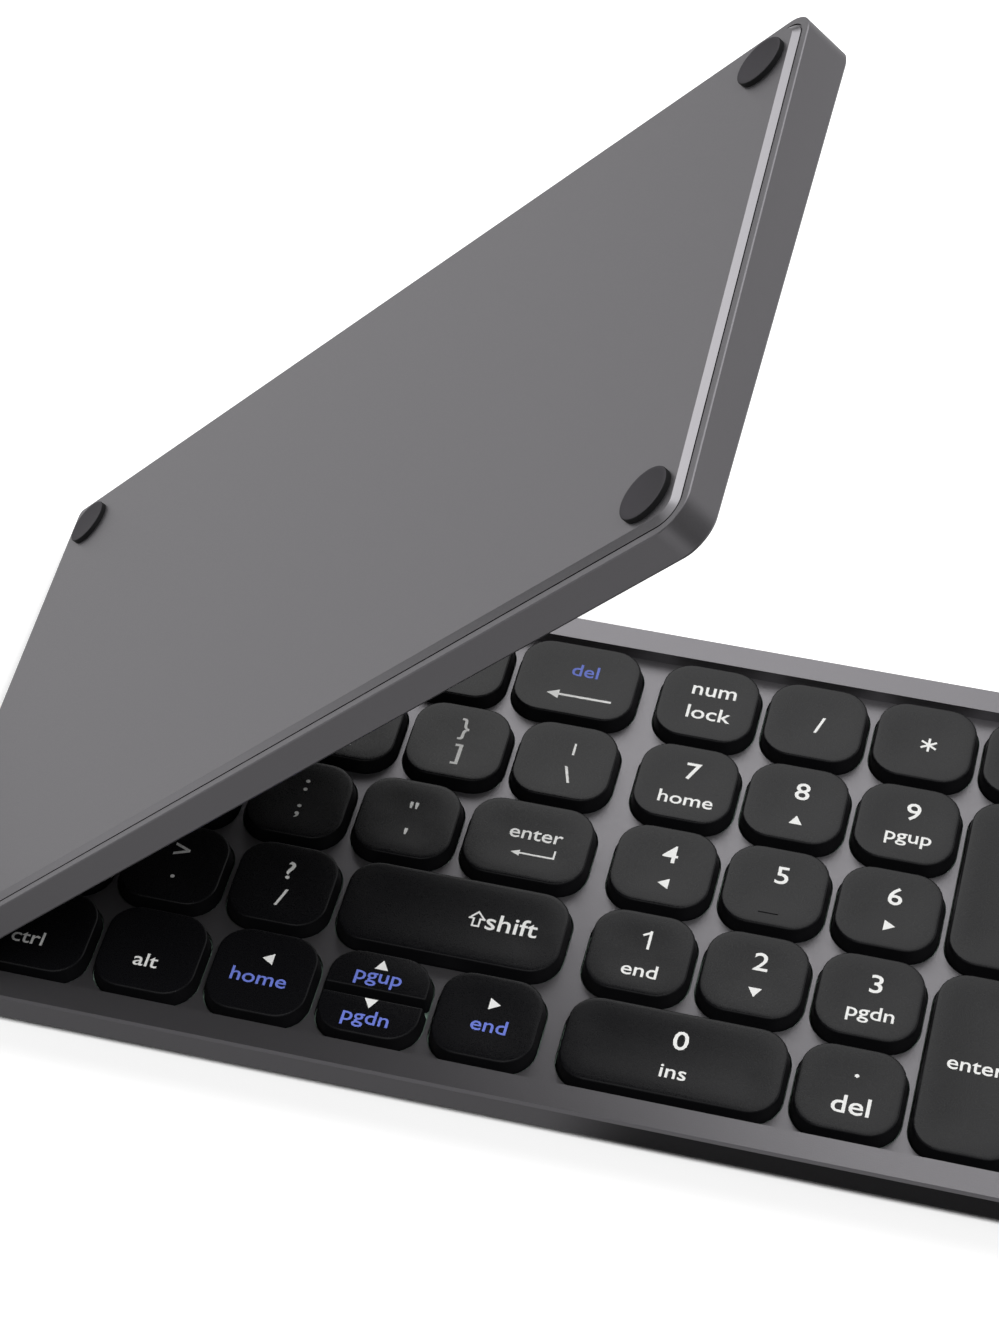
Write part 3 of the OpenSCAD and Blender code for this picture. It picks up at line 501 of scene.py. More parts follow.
def rounded_outline(half_w, half_d, radii):
    """Rounded rectangle, anticlockwise from its right side, with a radius for each corner. Each
    quarter is an arc about its corner's centre, then points evenly along the side to the next."""
    turn = np.linspace(0, math.pi / 2, CORNER_STEPS)
    arcs = []
    for quarter, (sx, sy) in enumerate([(1, 1), (-1, 1), (-1, -1), (1, -1)]):
        r = radii[quarter]
        angle = turn + quarter * math.pi / 2
        arcs.append(np.stack([sx * (half_w - r) + r * np.cos(angle),
                              sy * (half_d - r) + r * np.sin(angle)], 1))
    out = []
    for quarter in range(4):
        arc, after = arcs[quarter], arcs[(quarter + 1) % 4]
        step = np.linspace(0, 1, SIDE_STEPS + 2)[1:-1, None]
        out += [arc, arc[-1] * (1 - step) + after[0] * step]
    return np.concatenate(out)


def dish(share):
    """Depth of the finger dish at a share of the way from a cap's middle (0) to its edge (1): a
    bowl that is level at its middle and meets the flat border with an even slope."""
    reach = np.clip(np.asarray(share, float) / DISH_EDGE, 0, 1)
    return DISH_DEPTH * (1 - reach ** 2) ** 1.5


def keycap_surface(x, y, w, d, corners=(KEY_R,) * 4, dished=True):
    """Cap over a w by d area about (x, y): the skirt leans in by the draft, a quarter round turns
    it into the top, and the top's rings shrink to the middle while their corners turn rounder, as
    a bowl does. Inside, a wall goes back down to the skirt's foot. Returns the finish too: 0 for
    the top, 1 for the skirt."""
    half_w, half_d = w / 2, d / 2
    top_inset = KEY_DRAFT + KEY_ROUND
    rings = []

    def ring(inset, z, rounder=0.0):
        """Ring of the outline moved in, its corners rounder by a share of its half width. A dished
        cap's corners stay just short of meeting, and a flat cap's leave its sides some length."""
        hw, hd = half_w - inset, half_d - inset
        small = min(hw, hd)
        most = small - 0.01 if dished else 2 * hd - 0.9
        radii = [min(max(r - inset, TIGHT_R) + rounder * small, most) for r in corners]
        flat = rounded_outline(hw, hd, radii)
        rings.append(np.column_stack([flat, np.full(len(flat), z)]))

    for inset, z in INSIDE_WALL:
        ring(inset, z)
    ring(0.0, SKIRT_Z)
    ring(KEY_DRAFT * 0.5, (SKIRT_Z + KEY_PROUD - KEY_ROUND) / 2)
    skirt_rings = len(rings) + 2
    for angle in np.linspace(0, math.pi / 2, ROUND_STEPS):
        ring(KEY_DRAFT + KEY_ROUND * (1 - math.cos(angle)),
             KEY_PROUD - KEY_ROUND * (1 - math.sin(angle)))
    if dished:
        edge = min(half_w, half_d) - top_inset
        for share in DISH_RINGS:
            ring(top_inset + edge * (1 - share), KEY_PROUD - float(dish(share)), 1 - share)
    around = len(rings[0])
    which = [1] * (around * (skirt_rings - 1)) + [0] * (around * (len(rings) - skirt_rings))
    return np.concatenate(rings) + [x, y, 0], ring_faces(len(rings), around), which + [1, 0]


def joined(parts):
    """Several (points, faces, finish of each face) as one."""
    points, faces, which, first = [], [], [], 0
    for part_points, part_faces, part_which in parts:
        points.append(part_points)
        faces += [[i + first for i in face] for face in part_faces]
        which += part_which
        first += len(part_points)
    return np.concatenate(points), faces, which


# Widths of the keys of each row from the front, in columns. The base's are counted from the pad and
# the lid's from its free end, and one more key fills each row.
BASE_ROWS = [[1, 1, 1, 1], [2.09, 1, 1], [1.22, 1, 1, 1], [1, 1, 1, 1], [1.22, 1, 1, 1]]
LID_ROWS = [[1, 1, 1, 1.25], [2.25, 1, 1, 1, 1, 1, 1], [2, 1, 1, 1, 1, 1, 1],
            [1.3, 1, 1, 1, 1, 1, 1, 1], [1, 1, 1, 1, 1, 1, 1, 1]]
# Column, row, width and depth of each key of the number pad, in cells from its front left
PAD = {"num_lock": (0, 4, 1, 1), "divide": (1, 4, 1, 1), "multiply": (2, 4, 1, 1),
       "minus": (3, 4, 1, 1), "7": (0, 3, 1, 1), "8": (1, 3, 1, 1), "9": (2, 3, 1, 1),
       "plus": (3, 2, 1, 2), "4": (0, 2, 1, 1), "5": (1, 2, 1, 1), "6": (2, 2, 1, 1),
       "1": (0, 1, 1, 1), "2": (1, 1, 1, 1), "3": (2, 1, 1, 1), "pad_enter": (3, 0, 1, 2),
       "0": (0, 0, 2, 1), "decimal": (2, 0, 1, 1)}


def row_y(row):
    """Middle of a row, counted from the front."""
    return Y_CELLS + (row + 0.5) * ROW


def cells(widths, total):
    """(start, width) of each cell of a letter row; the last one fills the row."""
    sizes = [w * COL for w in widths]
    sizes.append(total - sum(sizes))
    return [(sum(sizes[:i]), size) for i, size in enumerate(sizes)]


def base_cell(row, i):
    """(x, y, width, depth) of a letter key's cell on the right half, counted from the pad."""
    start, size = cells(BASE_ROWS[row], X_BLOCK_END - X_CELLS)[i]
    return X_BLOCK_END - start - size / 2, row_y(row), size, ROW


def lid_cell(row, i):
    """(x, y, width, depth) of a key's cell on the left half, counted from its free end."""
    start, size = cells(LID_ROWS[row], X_CELLS_END - X_CELLS)[i]
    return -X_CELLS_END + start + size / 2, row_y(row), size, ROW


def pad_cell(name):
    """(x, y, width, depth) of a key's cell on the number pad."""
    col, row, wide, tall = PAD[name]
    return X_PAD + (col + wide / 2) * COL, Y_CELLS + (row + tall / 2) * ROW, wide * COL, tall * ROW


# Node name: its cells
key_cells = {"key_" + name: [pad_cell(name)] for name in PAD}
key_cells.update({
    "key_backspace": [base_cell(4, 0)], "key_backslash": [base_cell(3, 0)],
    "key_enter": [base_cell(2, 0)], "key_right_shift": [base_cell(1, 0)],
    "key_left_arrow": [base_cell(0, 2)], "key_right_arrow": [base_cell(0, 0)]})
ROW_NAMES = ["modifier", "lower_letter", "home_row", "upper_letter", "digit"]
for row, row_name in enumerate(ROW_NAMES):
    # Keys before this one have nodes of their own: three in the arrows' row and one in the others
    first = 3 if row == 0 else 1
    key_cells[f"base_{row_name}_keys"] = [base_cell(row, i)
                                          for i in range(first, len(BASE_ROWS[row]) + 1)]
    key_cells[f"lid_{row_name}_keys"] = [lid_cell(row, i) for i in range(len(LID_ROWS[row]) + 1)]


def arrow_area(side):
    """(x, y, width, depth) and corner radii of the upper (side 1) or lower (side -1) arrow key.
    They share one cell. Their outer corners are a full key's, and those at the gap are small."""
    x, y, w, d = base_cell(0, 1)
    depth = (d - KEY_GAP - ARROW_SPLIT) / 2
    outer, inner = (KEY_R, KEY_R), (ARROW_R, ARROW_R)
    return ((x, y + side * (depth + ARROW_SPLIT) / 2, w - KEY_GAP, depth),
            outer + inner if side > 0 else inner + outer)


caps = {key: [keycap_surface(x, y, w - KEY_GAP, d - KEY_GAP) for x, y, w, d in places]
        for key, places in key_cells.items()}
ARROW_SIDES = {"key_up_arrow": 1, "key_down_arrow": -1}
for key, side in ARROW_SIDES.items():
    area, corners = arrow_area(side)
    key_cells[key] = [base_cell(0, 1)]
    caps[key] = [keycap_surface(*area, corners, False)]


# ---------------------------------------------------------------- legends and homing bars

# Ink stands this high. Capitals are TALL or SMALL, and letters a little wider than the font's.
LIFT = 0.03
TALL, SMALL, WIDER = 3.4, 2.6, 1.1
CAPITAL = 0.73
WHITE, BLUE = 0, 1


def prism(outline):
    """Plate over a flat convex outline, anticlockwise. Its Z is 1 on top and -1 below."""
    flat = np.asarray(outline, float)
    n = len(flat)
    points = np.concatenate([np.column_stack([flat, np.full(n, level)]) for level in (1.0, -1.0)])
    sides = [[i, i + n, (i + 1) % n + n, (i + 1) % n] for i in range(n)]
    return points, [list(range(n)), list(range(2 * n - 1, n - 1, -1))] + sides


def bar(start, end, width):
    """Straight stroke of the given width with square ends, each half the width past its point."""
    start, end = np.array(start, float), np.array(end, float)
    along = (end - start) / np.linalg.norm(end - start)
    side = np.array([-along[1], along[0]]) * width / 2
    over = along * width / 2
    return prism([start - side - over, end - side + over, end + side + over, start + side - over])


def strokes(path, width):
    """Straight strokes from point to point."""
    return [bar(start, end, width) for start, end in zip(path, path[1:])]


def word(text, height):
    """Letters in the plain built-in font, slightly bold and centred, with capitals of the given
    height. As in a prism, Z is 1 on top and -1 below."""
    curve = bpy.data.curves.new("word", "FONT")
    curve.body, curve.resolution_u, curve.extrude, curve.offset = text, 3, 0.01, 0.008
    carrier = bpy.data.objects.new("word", curve)
    mesh = carrier.to_mesh()
    flat = np.empty(len(mesh.vertices) * 3)
    mesh.vertices.foreach_get("co", flat)
    points = flat.reshape(-1, 3).copy()
    faces = [list(polygon.vertices) for polygon in mesh.polygons]
    carrier.to_mesh_clear()
    bpy.data.objects.remove(carrier)
    bpy.data.curves.remove(curve)
    points[:, :2] *= np.array([WIDER, 1]) * height / CAPITAL
    points[:, :2] -= (points[:, :2].min(0) + points[:, :2].max(0)) / 2
    points[:, 2] = np.sign(points[:, 2])
    return points, faces


def triangle(turn):
    """Arrow-head 2.1 wide and 1.75 tall that points up, turned by quarter turns."""
    shape = np.array([[-1.05, -0.875], [1.05, -0.875], [0, 0.875]])
    c, s = [(1, 0), (0, 1), (-1, 0), (0, -1)][turn]
    return [prism(shape @ np.array([[c, s], [-s, c]]))]


# Half the length of a star's strokes
STAR_R = 1.2

# Drawn signs: for each its shapes as (points, faces) plates
SIGNS = {
    "<up>": triangle(0), "<left>": triangle(1), "<down>": triangle(2), "<right>": triangle(3),
    "<back>": [bar((-3.6, 0), (5.2, 0), 0.42), prism([(-5.2, 0), (-3.2, -0.95), (-3.2, 0.95)])],
    "<return>": strokes([(3.2, 0.9), (3.2, -0.5), (-2.4, -0.5)], 0.3) + [
        prism([(-3.6, -0.5), (-2.2, -1.1), (-2.2, 0.1)])],
    "<shift>": strokes([(-0.5, -1.3), (-0.5, 0.1), (-1.15, 0.1), (0, 1.4), (1.15, 0.1),
                        (0.5, 0.1), (0.5, -1.3), (-0.5, -1.3)], 0.28),
    "1": [bar((0.35, -1.5), (0.35, 1.5), 0.42), bar((0.3, 1.4), (-0.65, 0.85), 0.36)],
    "*": [bar((-STAR_R * math.cos(turn), -STAR_R * math.sin(turn)),
              (STAR_R * math.cos(turn), STAR_R * math.sin(turn)), 0.38)
          for turn in (math.pi / 2, math.pi / 6, -math.pi / 6)],
    "|": [bar((0, -1.0), (0, 1.0), 0.36)]}


def digit_key(digit, under):
    """Marks of a pad key: its digit above and a word or an arrow-head below."""
    return [(digit, 0.6, 2.5, TALL, WHITE), (under, 0.6, -3.3, SMALL, WHITE)]


def pair(upper, lower, x=0.4):
    """Marks of a key with two signs."""
    return [(upper, x, 2.6, TALL, WHITE), (lower, x, -2.7, TALL, WHITE)]


def letter(text):
    """Mark of a letter key."""
    return [(text, 0.3, 0.3, TALL, WHITE)]


def label(text, x=0.3, y=0.0):
    """Mark of a key with one small word."""
    return [(text, x, y, SMALL, WHITE)]


# Node name: for each of its cells the marks on it, as (text, x, y, height, ink)
key_marks = {"key_" + digit: [digit_key(digit, under)] for digit, under in {
    "7": "home", "8": "<up>", "9": "pgup", "4": "<left>", "6": "<right>", "1": "end",
    "2": "<down>", "3": "pgdn", "0": "ins"}.items()}
key_marks.update({
    "key_5": [[("5", 0.6, 2.4, TALL, WHITE)]],
    "key_decimal": [[(".", 0.6, 2.5, TALL, WHITE), ("del", 0.6, -2.8, TALL, WHITE)]],
    "key_num_lock": [[("num", 0.6, 2.4, SMALL * 1.1, WHITE),
                      ("lock", 0.6, -2.2, SMALL * 1.1, WHITE)]],
    "key_divide": [[("/", 0.7, -0.4, TALL, WHITE)]],
    "key_multiply": [[("*", 0.7, -0.4, TALL, WHITE)]],
    "key_minus": [[("-", 0.5, 0.0, TALL, WHITE)]],
    "key_plus": [[("+", 0.5, 0.0, TALL, WHITE)]],
    "key_pad_enter": [label("enter", -0.3, -0.5)],
    "key_backspace": [[("del", 0.9, 2.1, SMALL, BLUE), ("<back>", 0.9, -3.6, SMALL, WHITE)]],
    "key_backslash": [pair("|", "\\", 0.9)],
    "key_enter": [[("enter", 1.0, 1.2, SMALL, WHITE), ("<return>", 1.4, -2.2, SMALL, WHITE)]],
    "key_right_shift": [[("<shift>", 3.6, 0.3, SMALL, WHITE),
                         ("shift", 9.1, 0.3, TALL * 0.95, WHITE)]],
    "key_right_arrow": [[("<right>", 0.6, 2.4, SMALL, WHITE), ("end", 0.6, -1.5, SMALL, BLUE)]],
    "key_left_arrow": [[("<left>", 0.2, 2.6, SMALL, WHITE), ("home", -0.2, -1.1, SMALL, BLUE)]],
    "key_up_arrow": [[("<up>", -0.1, 5.4, SMALL, WHITE), ("pgup", -0.1, 2.5, SMALL, BLUE)]],
    "key_down_arrow": [[("<down>", -0.1, -1.9, SMALL, WHITE), ("pgdn", -0.1, -4.8, SMALL, BLUE)]],
    "base_modifier_keys": [label("alt", -0.2, -2.0), label("ctrl", 0.2, -2.0)],
    "base_lower_letter_keys": [pair("?", "/"), pair(">", "."), pair("<", ",")],
    "base_home_row_keys": [pair('"', "'"), pair(":", ";"), letter("L"), letter("K")],
    "base_upper_letter_keys": [pair("}", "]"), pair("{", "["), letter("P"), letter("O")],
    "base_digit_keys": [pair("+", "="), pair("_", "-"), pair(")", "0"), pair("(", "9")],
    "lid_modifier_keys": [label("fn"), label("ctrl"), label("opt"), label("alt"), []],
    "lid_lower_letter_keys": [label("shift", -10)] + [letter(c) for c in "ZXCVBNM"],
    "lid_home_row_keys": [label("caps", -6)] + [letter(c) for c in "ASDFGHJ"],
    "lid_upper_letter_keys": [label("tab", -4)] + [letter(c) for c in "QWERTYUI"],
    "lid_digit_keys": [pair("~", "`")] + [pair(a, b) for a, b in zip("!@#$%^&*", "12345678")]})

# Cells whose cap has a homing bar to be felt for: 5 on the pad, and F and J
HOMING = {"key_5": [0], "lid_home_row_keys": [4, 7]}
HOMING_BAR, HOMING_LIFT = bar((-1.5, -5.0), (1.1, -5.0), 0.45), 0.13
ABOVE_ALL = 5.0


def laid_on(surface, points, x, y, lift):
    """Flat points moved to (x, y) and laid on a cap: each takes the height of the surface under
    it, and lift times its own Z above that."""
    out = points + [x, y, 0]
    for i, point in enumerate(out):
        hit = surface.ray_cast(Vector((point[0], point[1], ABOVE_ALL)), Vector((0, 0, -1)))[0]
        out[i, 2] = (hit.z if hit is not None else KEY_PROUD - DISH_DEPTH) + lift * point[2]
    return out


for key, parts in caps.items():
    points, faces, which = joined(parts)
    surface = BVHTree.FromPolygons(points.tolist(), faces)
    for cell in HOMING.get(key, ()):
        ridge, ridge_faces = HOMING_BAR
        x, y = key_cells[key][cell][:2]
        points, faces, which = joined([(points, faces, which), (
            laid_on(surface, ridge, x, y, HOMING_LIFT), ridge_faces, [0] * len(ridge_faces))])
    place = left if key.startswith("lid_") else right
    piece("caps_" + key, key, place(points), faces, [ABS, SKIRT_PAINTED_SHADE], [key], 50,
          which)
    inked = []
    for (x, y, _, _), marks in zip(key_cells[key], key_marks[key]):
        for text, dx, dy, height, ink in marks:
            for shape, shape_faces in SIGNS.get(text) or [word(text, height)]:
                at = shape + [dx, dy, 0]
                inked.append((laid_on(surface, at, x, y, LIFT), shape_faces,
                              [ink] * len(shape_faces)))
    points, faces, which = joined(inked)
    piece("legend_" + key, key, place(points), faces, [WHITE_INK, BLUE_INK],
          sharp=50, which=which)


# ---------------------------------------------------------------- metalwork and small parts

# A seat's walls reach this far in from the underside, and only the left half reaches this high
SEAT_DEEP, LEFT_REACHES = 1.5, 50


def underside(middles):
    """A point of the underside and its inward direction, for the half that the faces are on."""
    place = left if middles[:, 2].max() > LEFT_REACHES else right
    ends = place(on_bottom(np.array([[0, 0, 0], [0, 0, 1.0]]))) / MM
    return ends[0], ends[1] - ends[0]


def shell_finish(middles, normals):
    """1 on faces at 45 degrees to the underside or to the deck, 2, the painted shade, on the walls
    of the cover's seat: upright, not far in from the underside, and facing the middle of the shell."""
    origin, inward = underside(middles)
    across, deep = normals @ inward, (middles - origin) @ inward
    to_middle = ((middles.min(0) + middles.max(0)) / 2 - middles) * normals
    edge = (np.abs(across) > 0.68) & (np.abs(across) < 0.735)
    seat = (np.abs(across) < 0.1) & (deep < SEAT_DEEP) & (to_middle.sum(1) > 0)
    return edge + 2 * seat


def cover_finish(middles, normals):
    """1 on the bevel, which leans by its width over its height and takes the painted highlight, 2,
    the painted shade, on the cover's thin walls.
    """
    across = np.abs(normals @ underside(middles)[1])
    bevel = np.abs(across - COVER_BEVEL / math.hypot(COVER_BEVEL, COVER_PROUD)) < 0.06
    return bevel + 2 * (across < 0.1)


for side, cad_side in (("right", "base"), ("left", "lid")):
    merged_copy(side + "_shell", side + "_half", cad_side + "_frame",
                [ALUMINIUM, CUT_EDGE, JOINT_PAINTED_SHADE], shell_finish)
    merged_copy(side + "_cover", side + "_half", cad_side + "_bottom_cover",
                [ALUMINIUM, BEVEL_PAINTED_HIGHLIGHT, JOINT_PAINTED_SHADE], cover_finish)

for cad_node, finish in {
        "base_screws": STEEL, "lid_screws": STEEL, "base_hinge_gears": STEEL,
        "lid_hinge_gears": STEEL, "hinge_links": STEEL, "base_switch_plate": SHEET_STEEL,
        "lid_switch_plate": SHEET_STEEL, "battery": FOIL, "main_board": BOARD,
        "usb_socket": NICKEL, "status_lights": ACRYLIC, "power_slider": ABS,
        "rim_bumpers": RUBBER}.items():
    dress(cad_node, finish)


# ---------------------------------------------------------------- rubber feet

FOOT_SIDES, DOME_SIDES = 48, 32
FOOT_ROUND, FOOT_BORDER, FOOT_SUNK = 0.2, 0.6, 0.05


def lathe(profile, x, y, around):
    """Surface of revolution of [radius, height] points about the upright axis through (x, y). The
    profile runs down its outside, so its faces are turned to look outwards."""
    profile = np.asarray(profile, float)
    angle = np.arange(around) * 2 * math.pi / around
    rings = np.stack([x + profile[:, :1] * np.cos(angle), y + profile[:, :1] * np.sin(angle),
                      profile[:, 1:] + 0 * angle], -1)
    return rings.reshape(-1, 3), [face[::-1] for face in ring_faces(len(profile), around)]


def foot_profile():
    """Half section of a foot, from its glued face down: a straight side, a quarter round, a
    border and then a sunk face. Its ends stop at 0.2 from the axis."""
    r, drop, turn = FOOT_D / 2, FOOT_T, FOOT_ROUND
    bend = [(r - turn + turn * math.cos(a), -(drop - turn + turn * math.sin(a)))
            for a in np.linspace(0, math.pi / 2, ROUND_STEPS)]
    face = [(r - FOOT_BORDER, -drop), (r - FOOT_BORDER - 0.15, -drop + FOOT_SUNK),
            (0.2, -drop + FOOT_SUNK)]
    return [(radius, height - COVER_PROUD)
            for radius, height in [(0.2, 0.0), (r, 0.0)] + bend + face]


# The side and most of the quarter round take the blacker copy, painted shade, and the faces the
# greyer one, painted light
profile = foot_profile()
painted_shade_band = np.isin(np.arange(len(profile) - 1), [1, 2, 3, 4])
skin = np.repeat(painted_shade_band, FOOT_SIDES).astype(int).tolist() + [0, 0]
points, faces, which = joined([
    (*lathe(profile, foot_x, foot_y, FOOT_SIDES), skin)
    for foot_x in (X_HINGE_END + FOOT_INSET, X_FREE_END - FOOT_INSET)
    for foot_y in (FOOT_INSET, SLOPE_DEPTH - FOOT_INSET)])
points = on_bottom(points)
piece("right_feet", "right_half", right(points), faces, [RUBBER, RUBBER_PAINTED_SHADE],
      ["base_feet"], which=which)
piece("left_feet", "left_half", left(mirrored(points)), [face[::-1] for face in faces],
      [RUBBER, RUBBER_PAINTED_SHADE], ["lid_feet"], which=which)


# ---------------------------------------------------------------- parts that give way

MEMBRANE_TOP = MEMBRANE_T - PLATE_DEPTH
DOME_TOP = KEY_PROUD - KEY_TOP_T - DOME_GAP
DOME_TOP_R, DOME_LEAN, DOME_FOOT = 1.1, 0.1, 0.4
FLAT = 0.005


def rigid(place):
    """(origin, axes) of a placing: it takes p in millimetres to origin + p @ axes * MM."""
    origin = place(np.zeros((1, 3)))[0]
    return origin, (place(np.eye(3)) - origin) / MM


def dome_profile():
    """Half section of a hollow dome, down its outside and up its inside: a short foot that leans
    in, then a cone to the flat top."""
    foot_z = MEMBRANE_TOP + DOME_FOOT
    return [(DOME_TOP_R, DOME_TOP), (DOME_R - DOME_LEAN, foot_z), (DOME_R, MEMBRANE_TOP),
            (DOME_R - DOME_WALL, MEMBRANE_TOP), (DOME_R - DOME_LEAN - DOME_WALL, foot_z),
            (0.9, DOME_TOP - DOME_WALL)]


def below_keys(half, body, place, keys):
    """Domes and lever pairs of a half, one piece of each per key node, and the sheet."""
    origin, axes = rigid(place)
    profile = dome_profile()

    def local(middles):
        """Row frame to deck frame."""
        return (middles - origin) @ axes.T / MM

    def give_way(made):
        """Gives the piece a mesh of its own."""
        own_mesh(made)

    centres = []
    for key in keys:
        places = key_cells[key]
        side = ARROW_SIDES.get(key, 0)
        spots = [(x, y + side * ROW / 5) for x, y, w, d in places]
        centres += spots
        points, faces, _ = joined([(*lathe(profile, x, y, DOME_SIDES), []) for x, y in spots])
        give_way(piece("domes_" + key, body, place(points), faces, [MEMBRANE],
                       [half + "_membrane"]))
        if not side:
            def under(middles):
                """Which middles lie in the key's cells."""
                at = local(middles)
                return np.any([(np.abs(at[:, 0] - x) < w / 2) & (np.abs(at[:, 1] - y) < d / 2)
                               for x, y, w, d in places], axis=0)

            levers = part_of(half + "_scissors", "levers_" + key, NYLON, under)
            give_way(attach(levers, body))

    def flat(middles):
        """Which middles lie on the sheet and not in or under a dome."""
        at = local(middles)
        near = np.linalg.norm(at[:, None, :2] - np.array(centres), axis=2).min(1)
        return (at[:, 2] < MEMBRANE_TOP + FLAT) & ((near > DOME_R - DOME_LEAN)
                                                   | (at[:, 2] < MEMBRANE_TOP - FLAT))

    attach(part_of(half + "_membrane", half + "_sheet", MEMBRANE, flat), body)


lid_keys = [key for key in key_cells if key.startswith("lid_")]
below_keys("base", "right_half", right, [key for key in key_cells if key not in lid_keys])
below_keys("lid", "left_half", left, lid_keys)

# The ribbon leaves each half at its hinge end and bends round the links on an arc. It is cut in two
# at the arc's middle, one part for each half, and each part is baked in place.
CABLE_Y, SETTLED = CASE_DEPTH / 2, 0.8
low_end = np.array([X_HINGE_END, -AXIS_DEPTH])
high_end = np.array([LID_AXIS_X - AXIS_DEPTH * math.cos(LID),
                     LID_AXIS_Z - AXIS_DEPTH * math.sin(LID)])
bend_r = math.dist(low_end, high_end) / (2 * math.sin(LINK_TURN))
arc_middle = np.array([X_HINGE_END - bend_r * math.sin(LINK_TURN),
                       -AXIS_DEPTH + bend_r * (1 - math.cos(LINK_TURN))])


def in_row(point):
    """A point of the ribbon's section, X and Z in the deck frame, to the row frame."""
    return right([[point[0], CABLE_Y, point[1]]])[0]


crossing = in_row(high_end) - in_row(low_end)
for name, body, end, away in [("flex_cable_right", "right_half", low_end, crossing),
                              ("flex_cable_left", "left_half", high_end, -crossing)]:
    strip = part_of("flex_cable", name, POLYIMIDE,
                    cut=(tuple(in_row(arc_middle)), tuple(away)))
    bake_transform(strip)


# ---------------------------------------------------------------- floor, light and camera

def stage_plane(name, size, z, finish):
    """A level square about the origin that isn't part of the object."""
    half = size / 2
    mesh = bpy.data.meshes.new(name)
    mesh.from_pydata([(-half, -half, z), (half, -half, z), (half, half, z), (-half, half, z)],
                     [], [(0, 1, 2, 3)])
    mesh.materials.append(finish)
    made = bpy.data.objects.new(name, mesh)
    bpy.context.scene.collection.objects.link(made)


# Half the size of the ground that the right half covers
FOOTPRINT = (0.088, 0.048, 0.0)
# Painted light: the camera sees this much more than the light on the table, from the first distance
# outside the footprint to the second, in metres, so that further out the table shows white over any
# shade
CLEAR, CLEAR_LEVEL = (0.001, 0.012), 0.5
# Mirrors see a dull table with painted light on it, glowing near the object, behind it on the left,
# and far off. A black patch, painted shade, covers the bearings within these cosines of the front
# right.
NEAR, NEAR_LEVEL = (0.005, 0.04), 0.06
BACK_LEFT, BEHIND, BEHIND_LEVEL = (-0.25, 0.97, 0.0), (-0.02, 0.06), 0.36
FAR, FAR_LEVEL = (0.2, 0.4), 0.4
FRONT_RIGHT, PAINTED_DARK = (0.72, -0.69, 0.0), (0.85, 0.97)


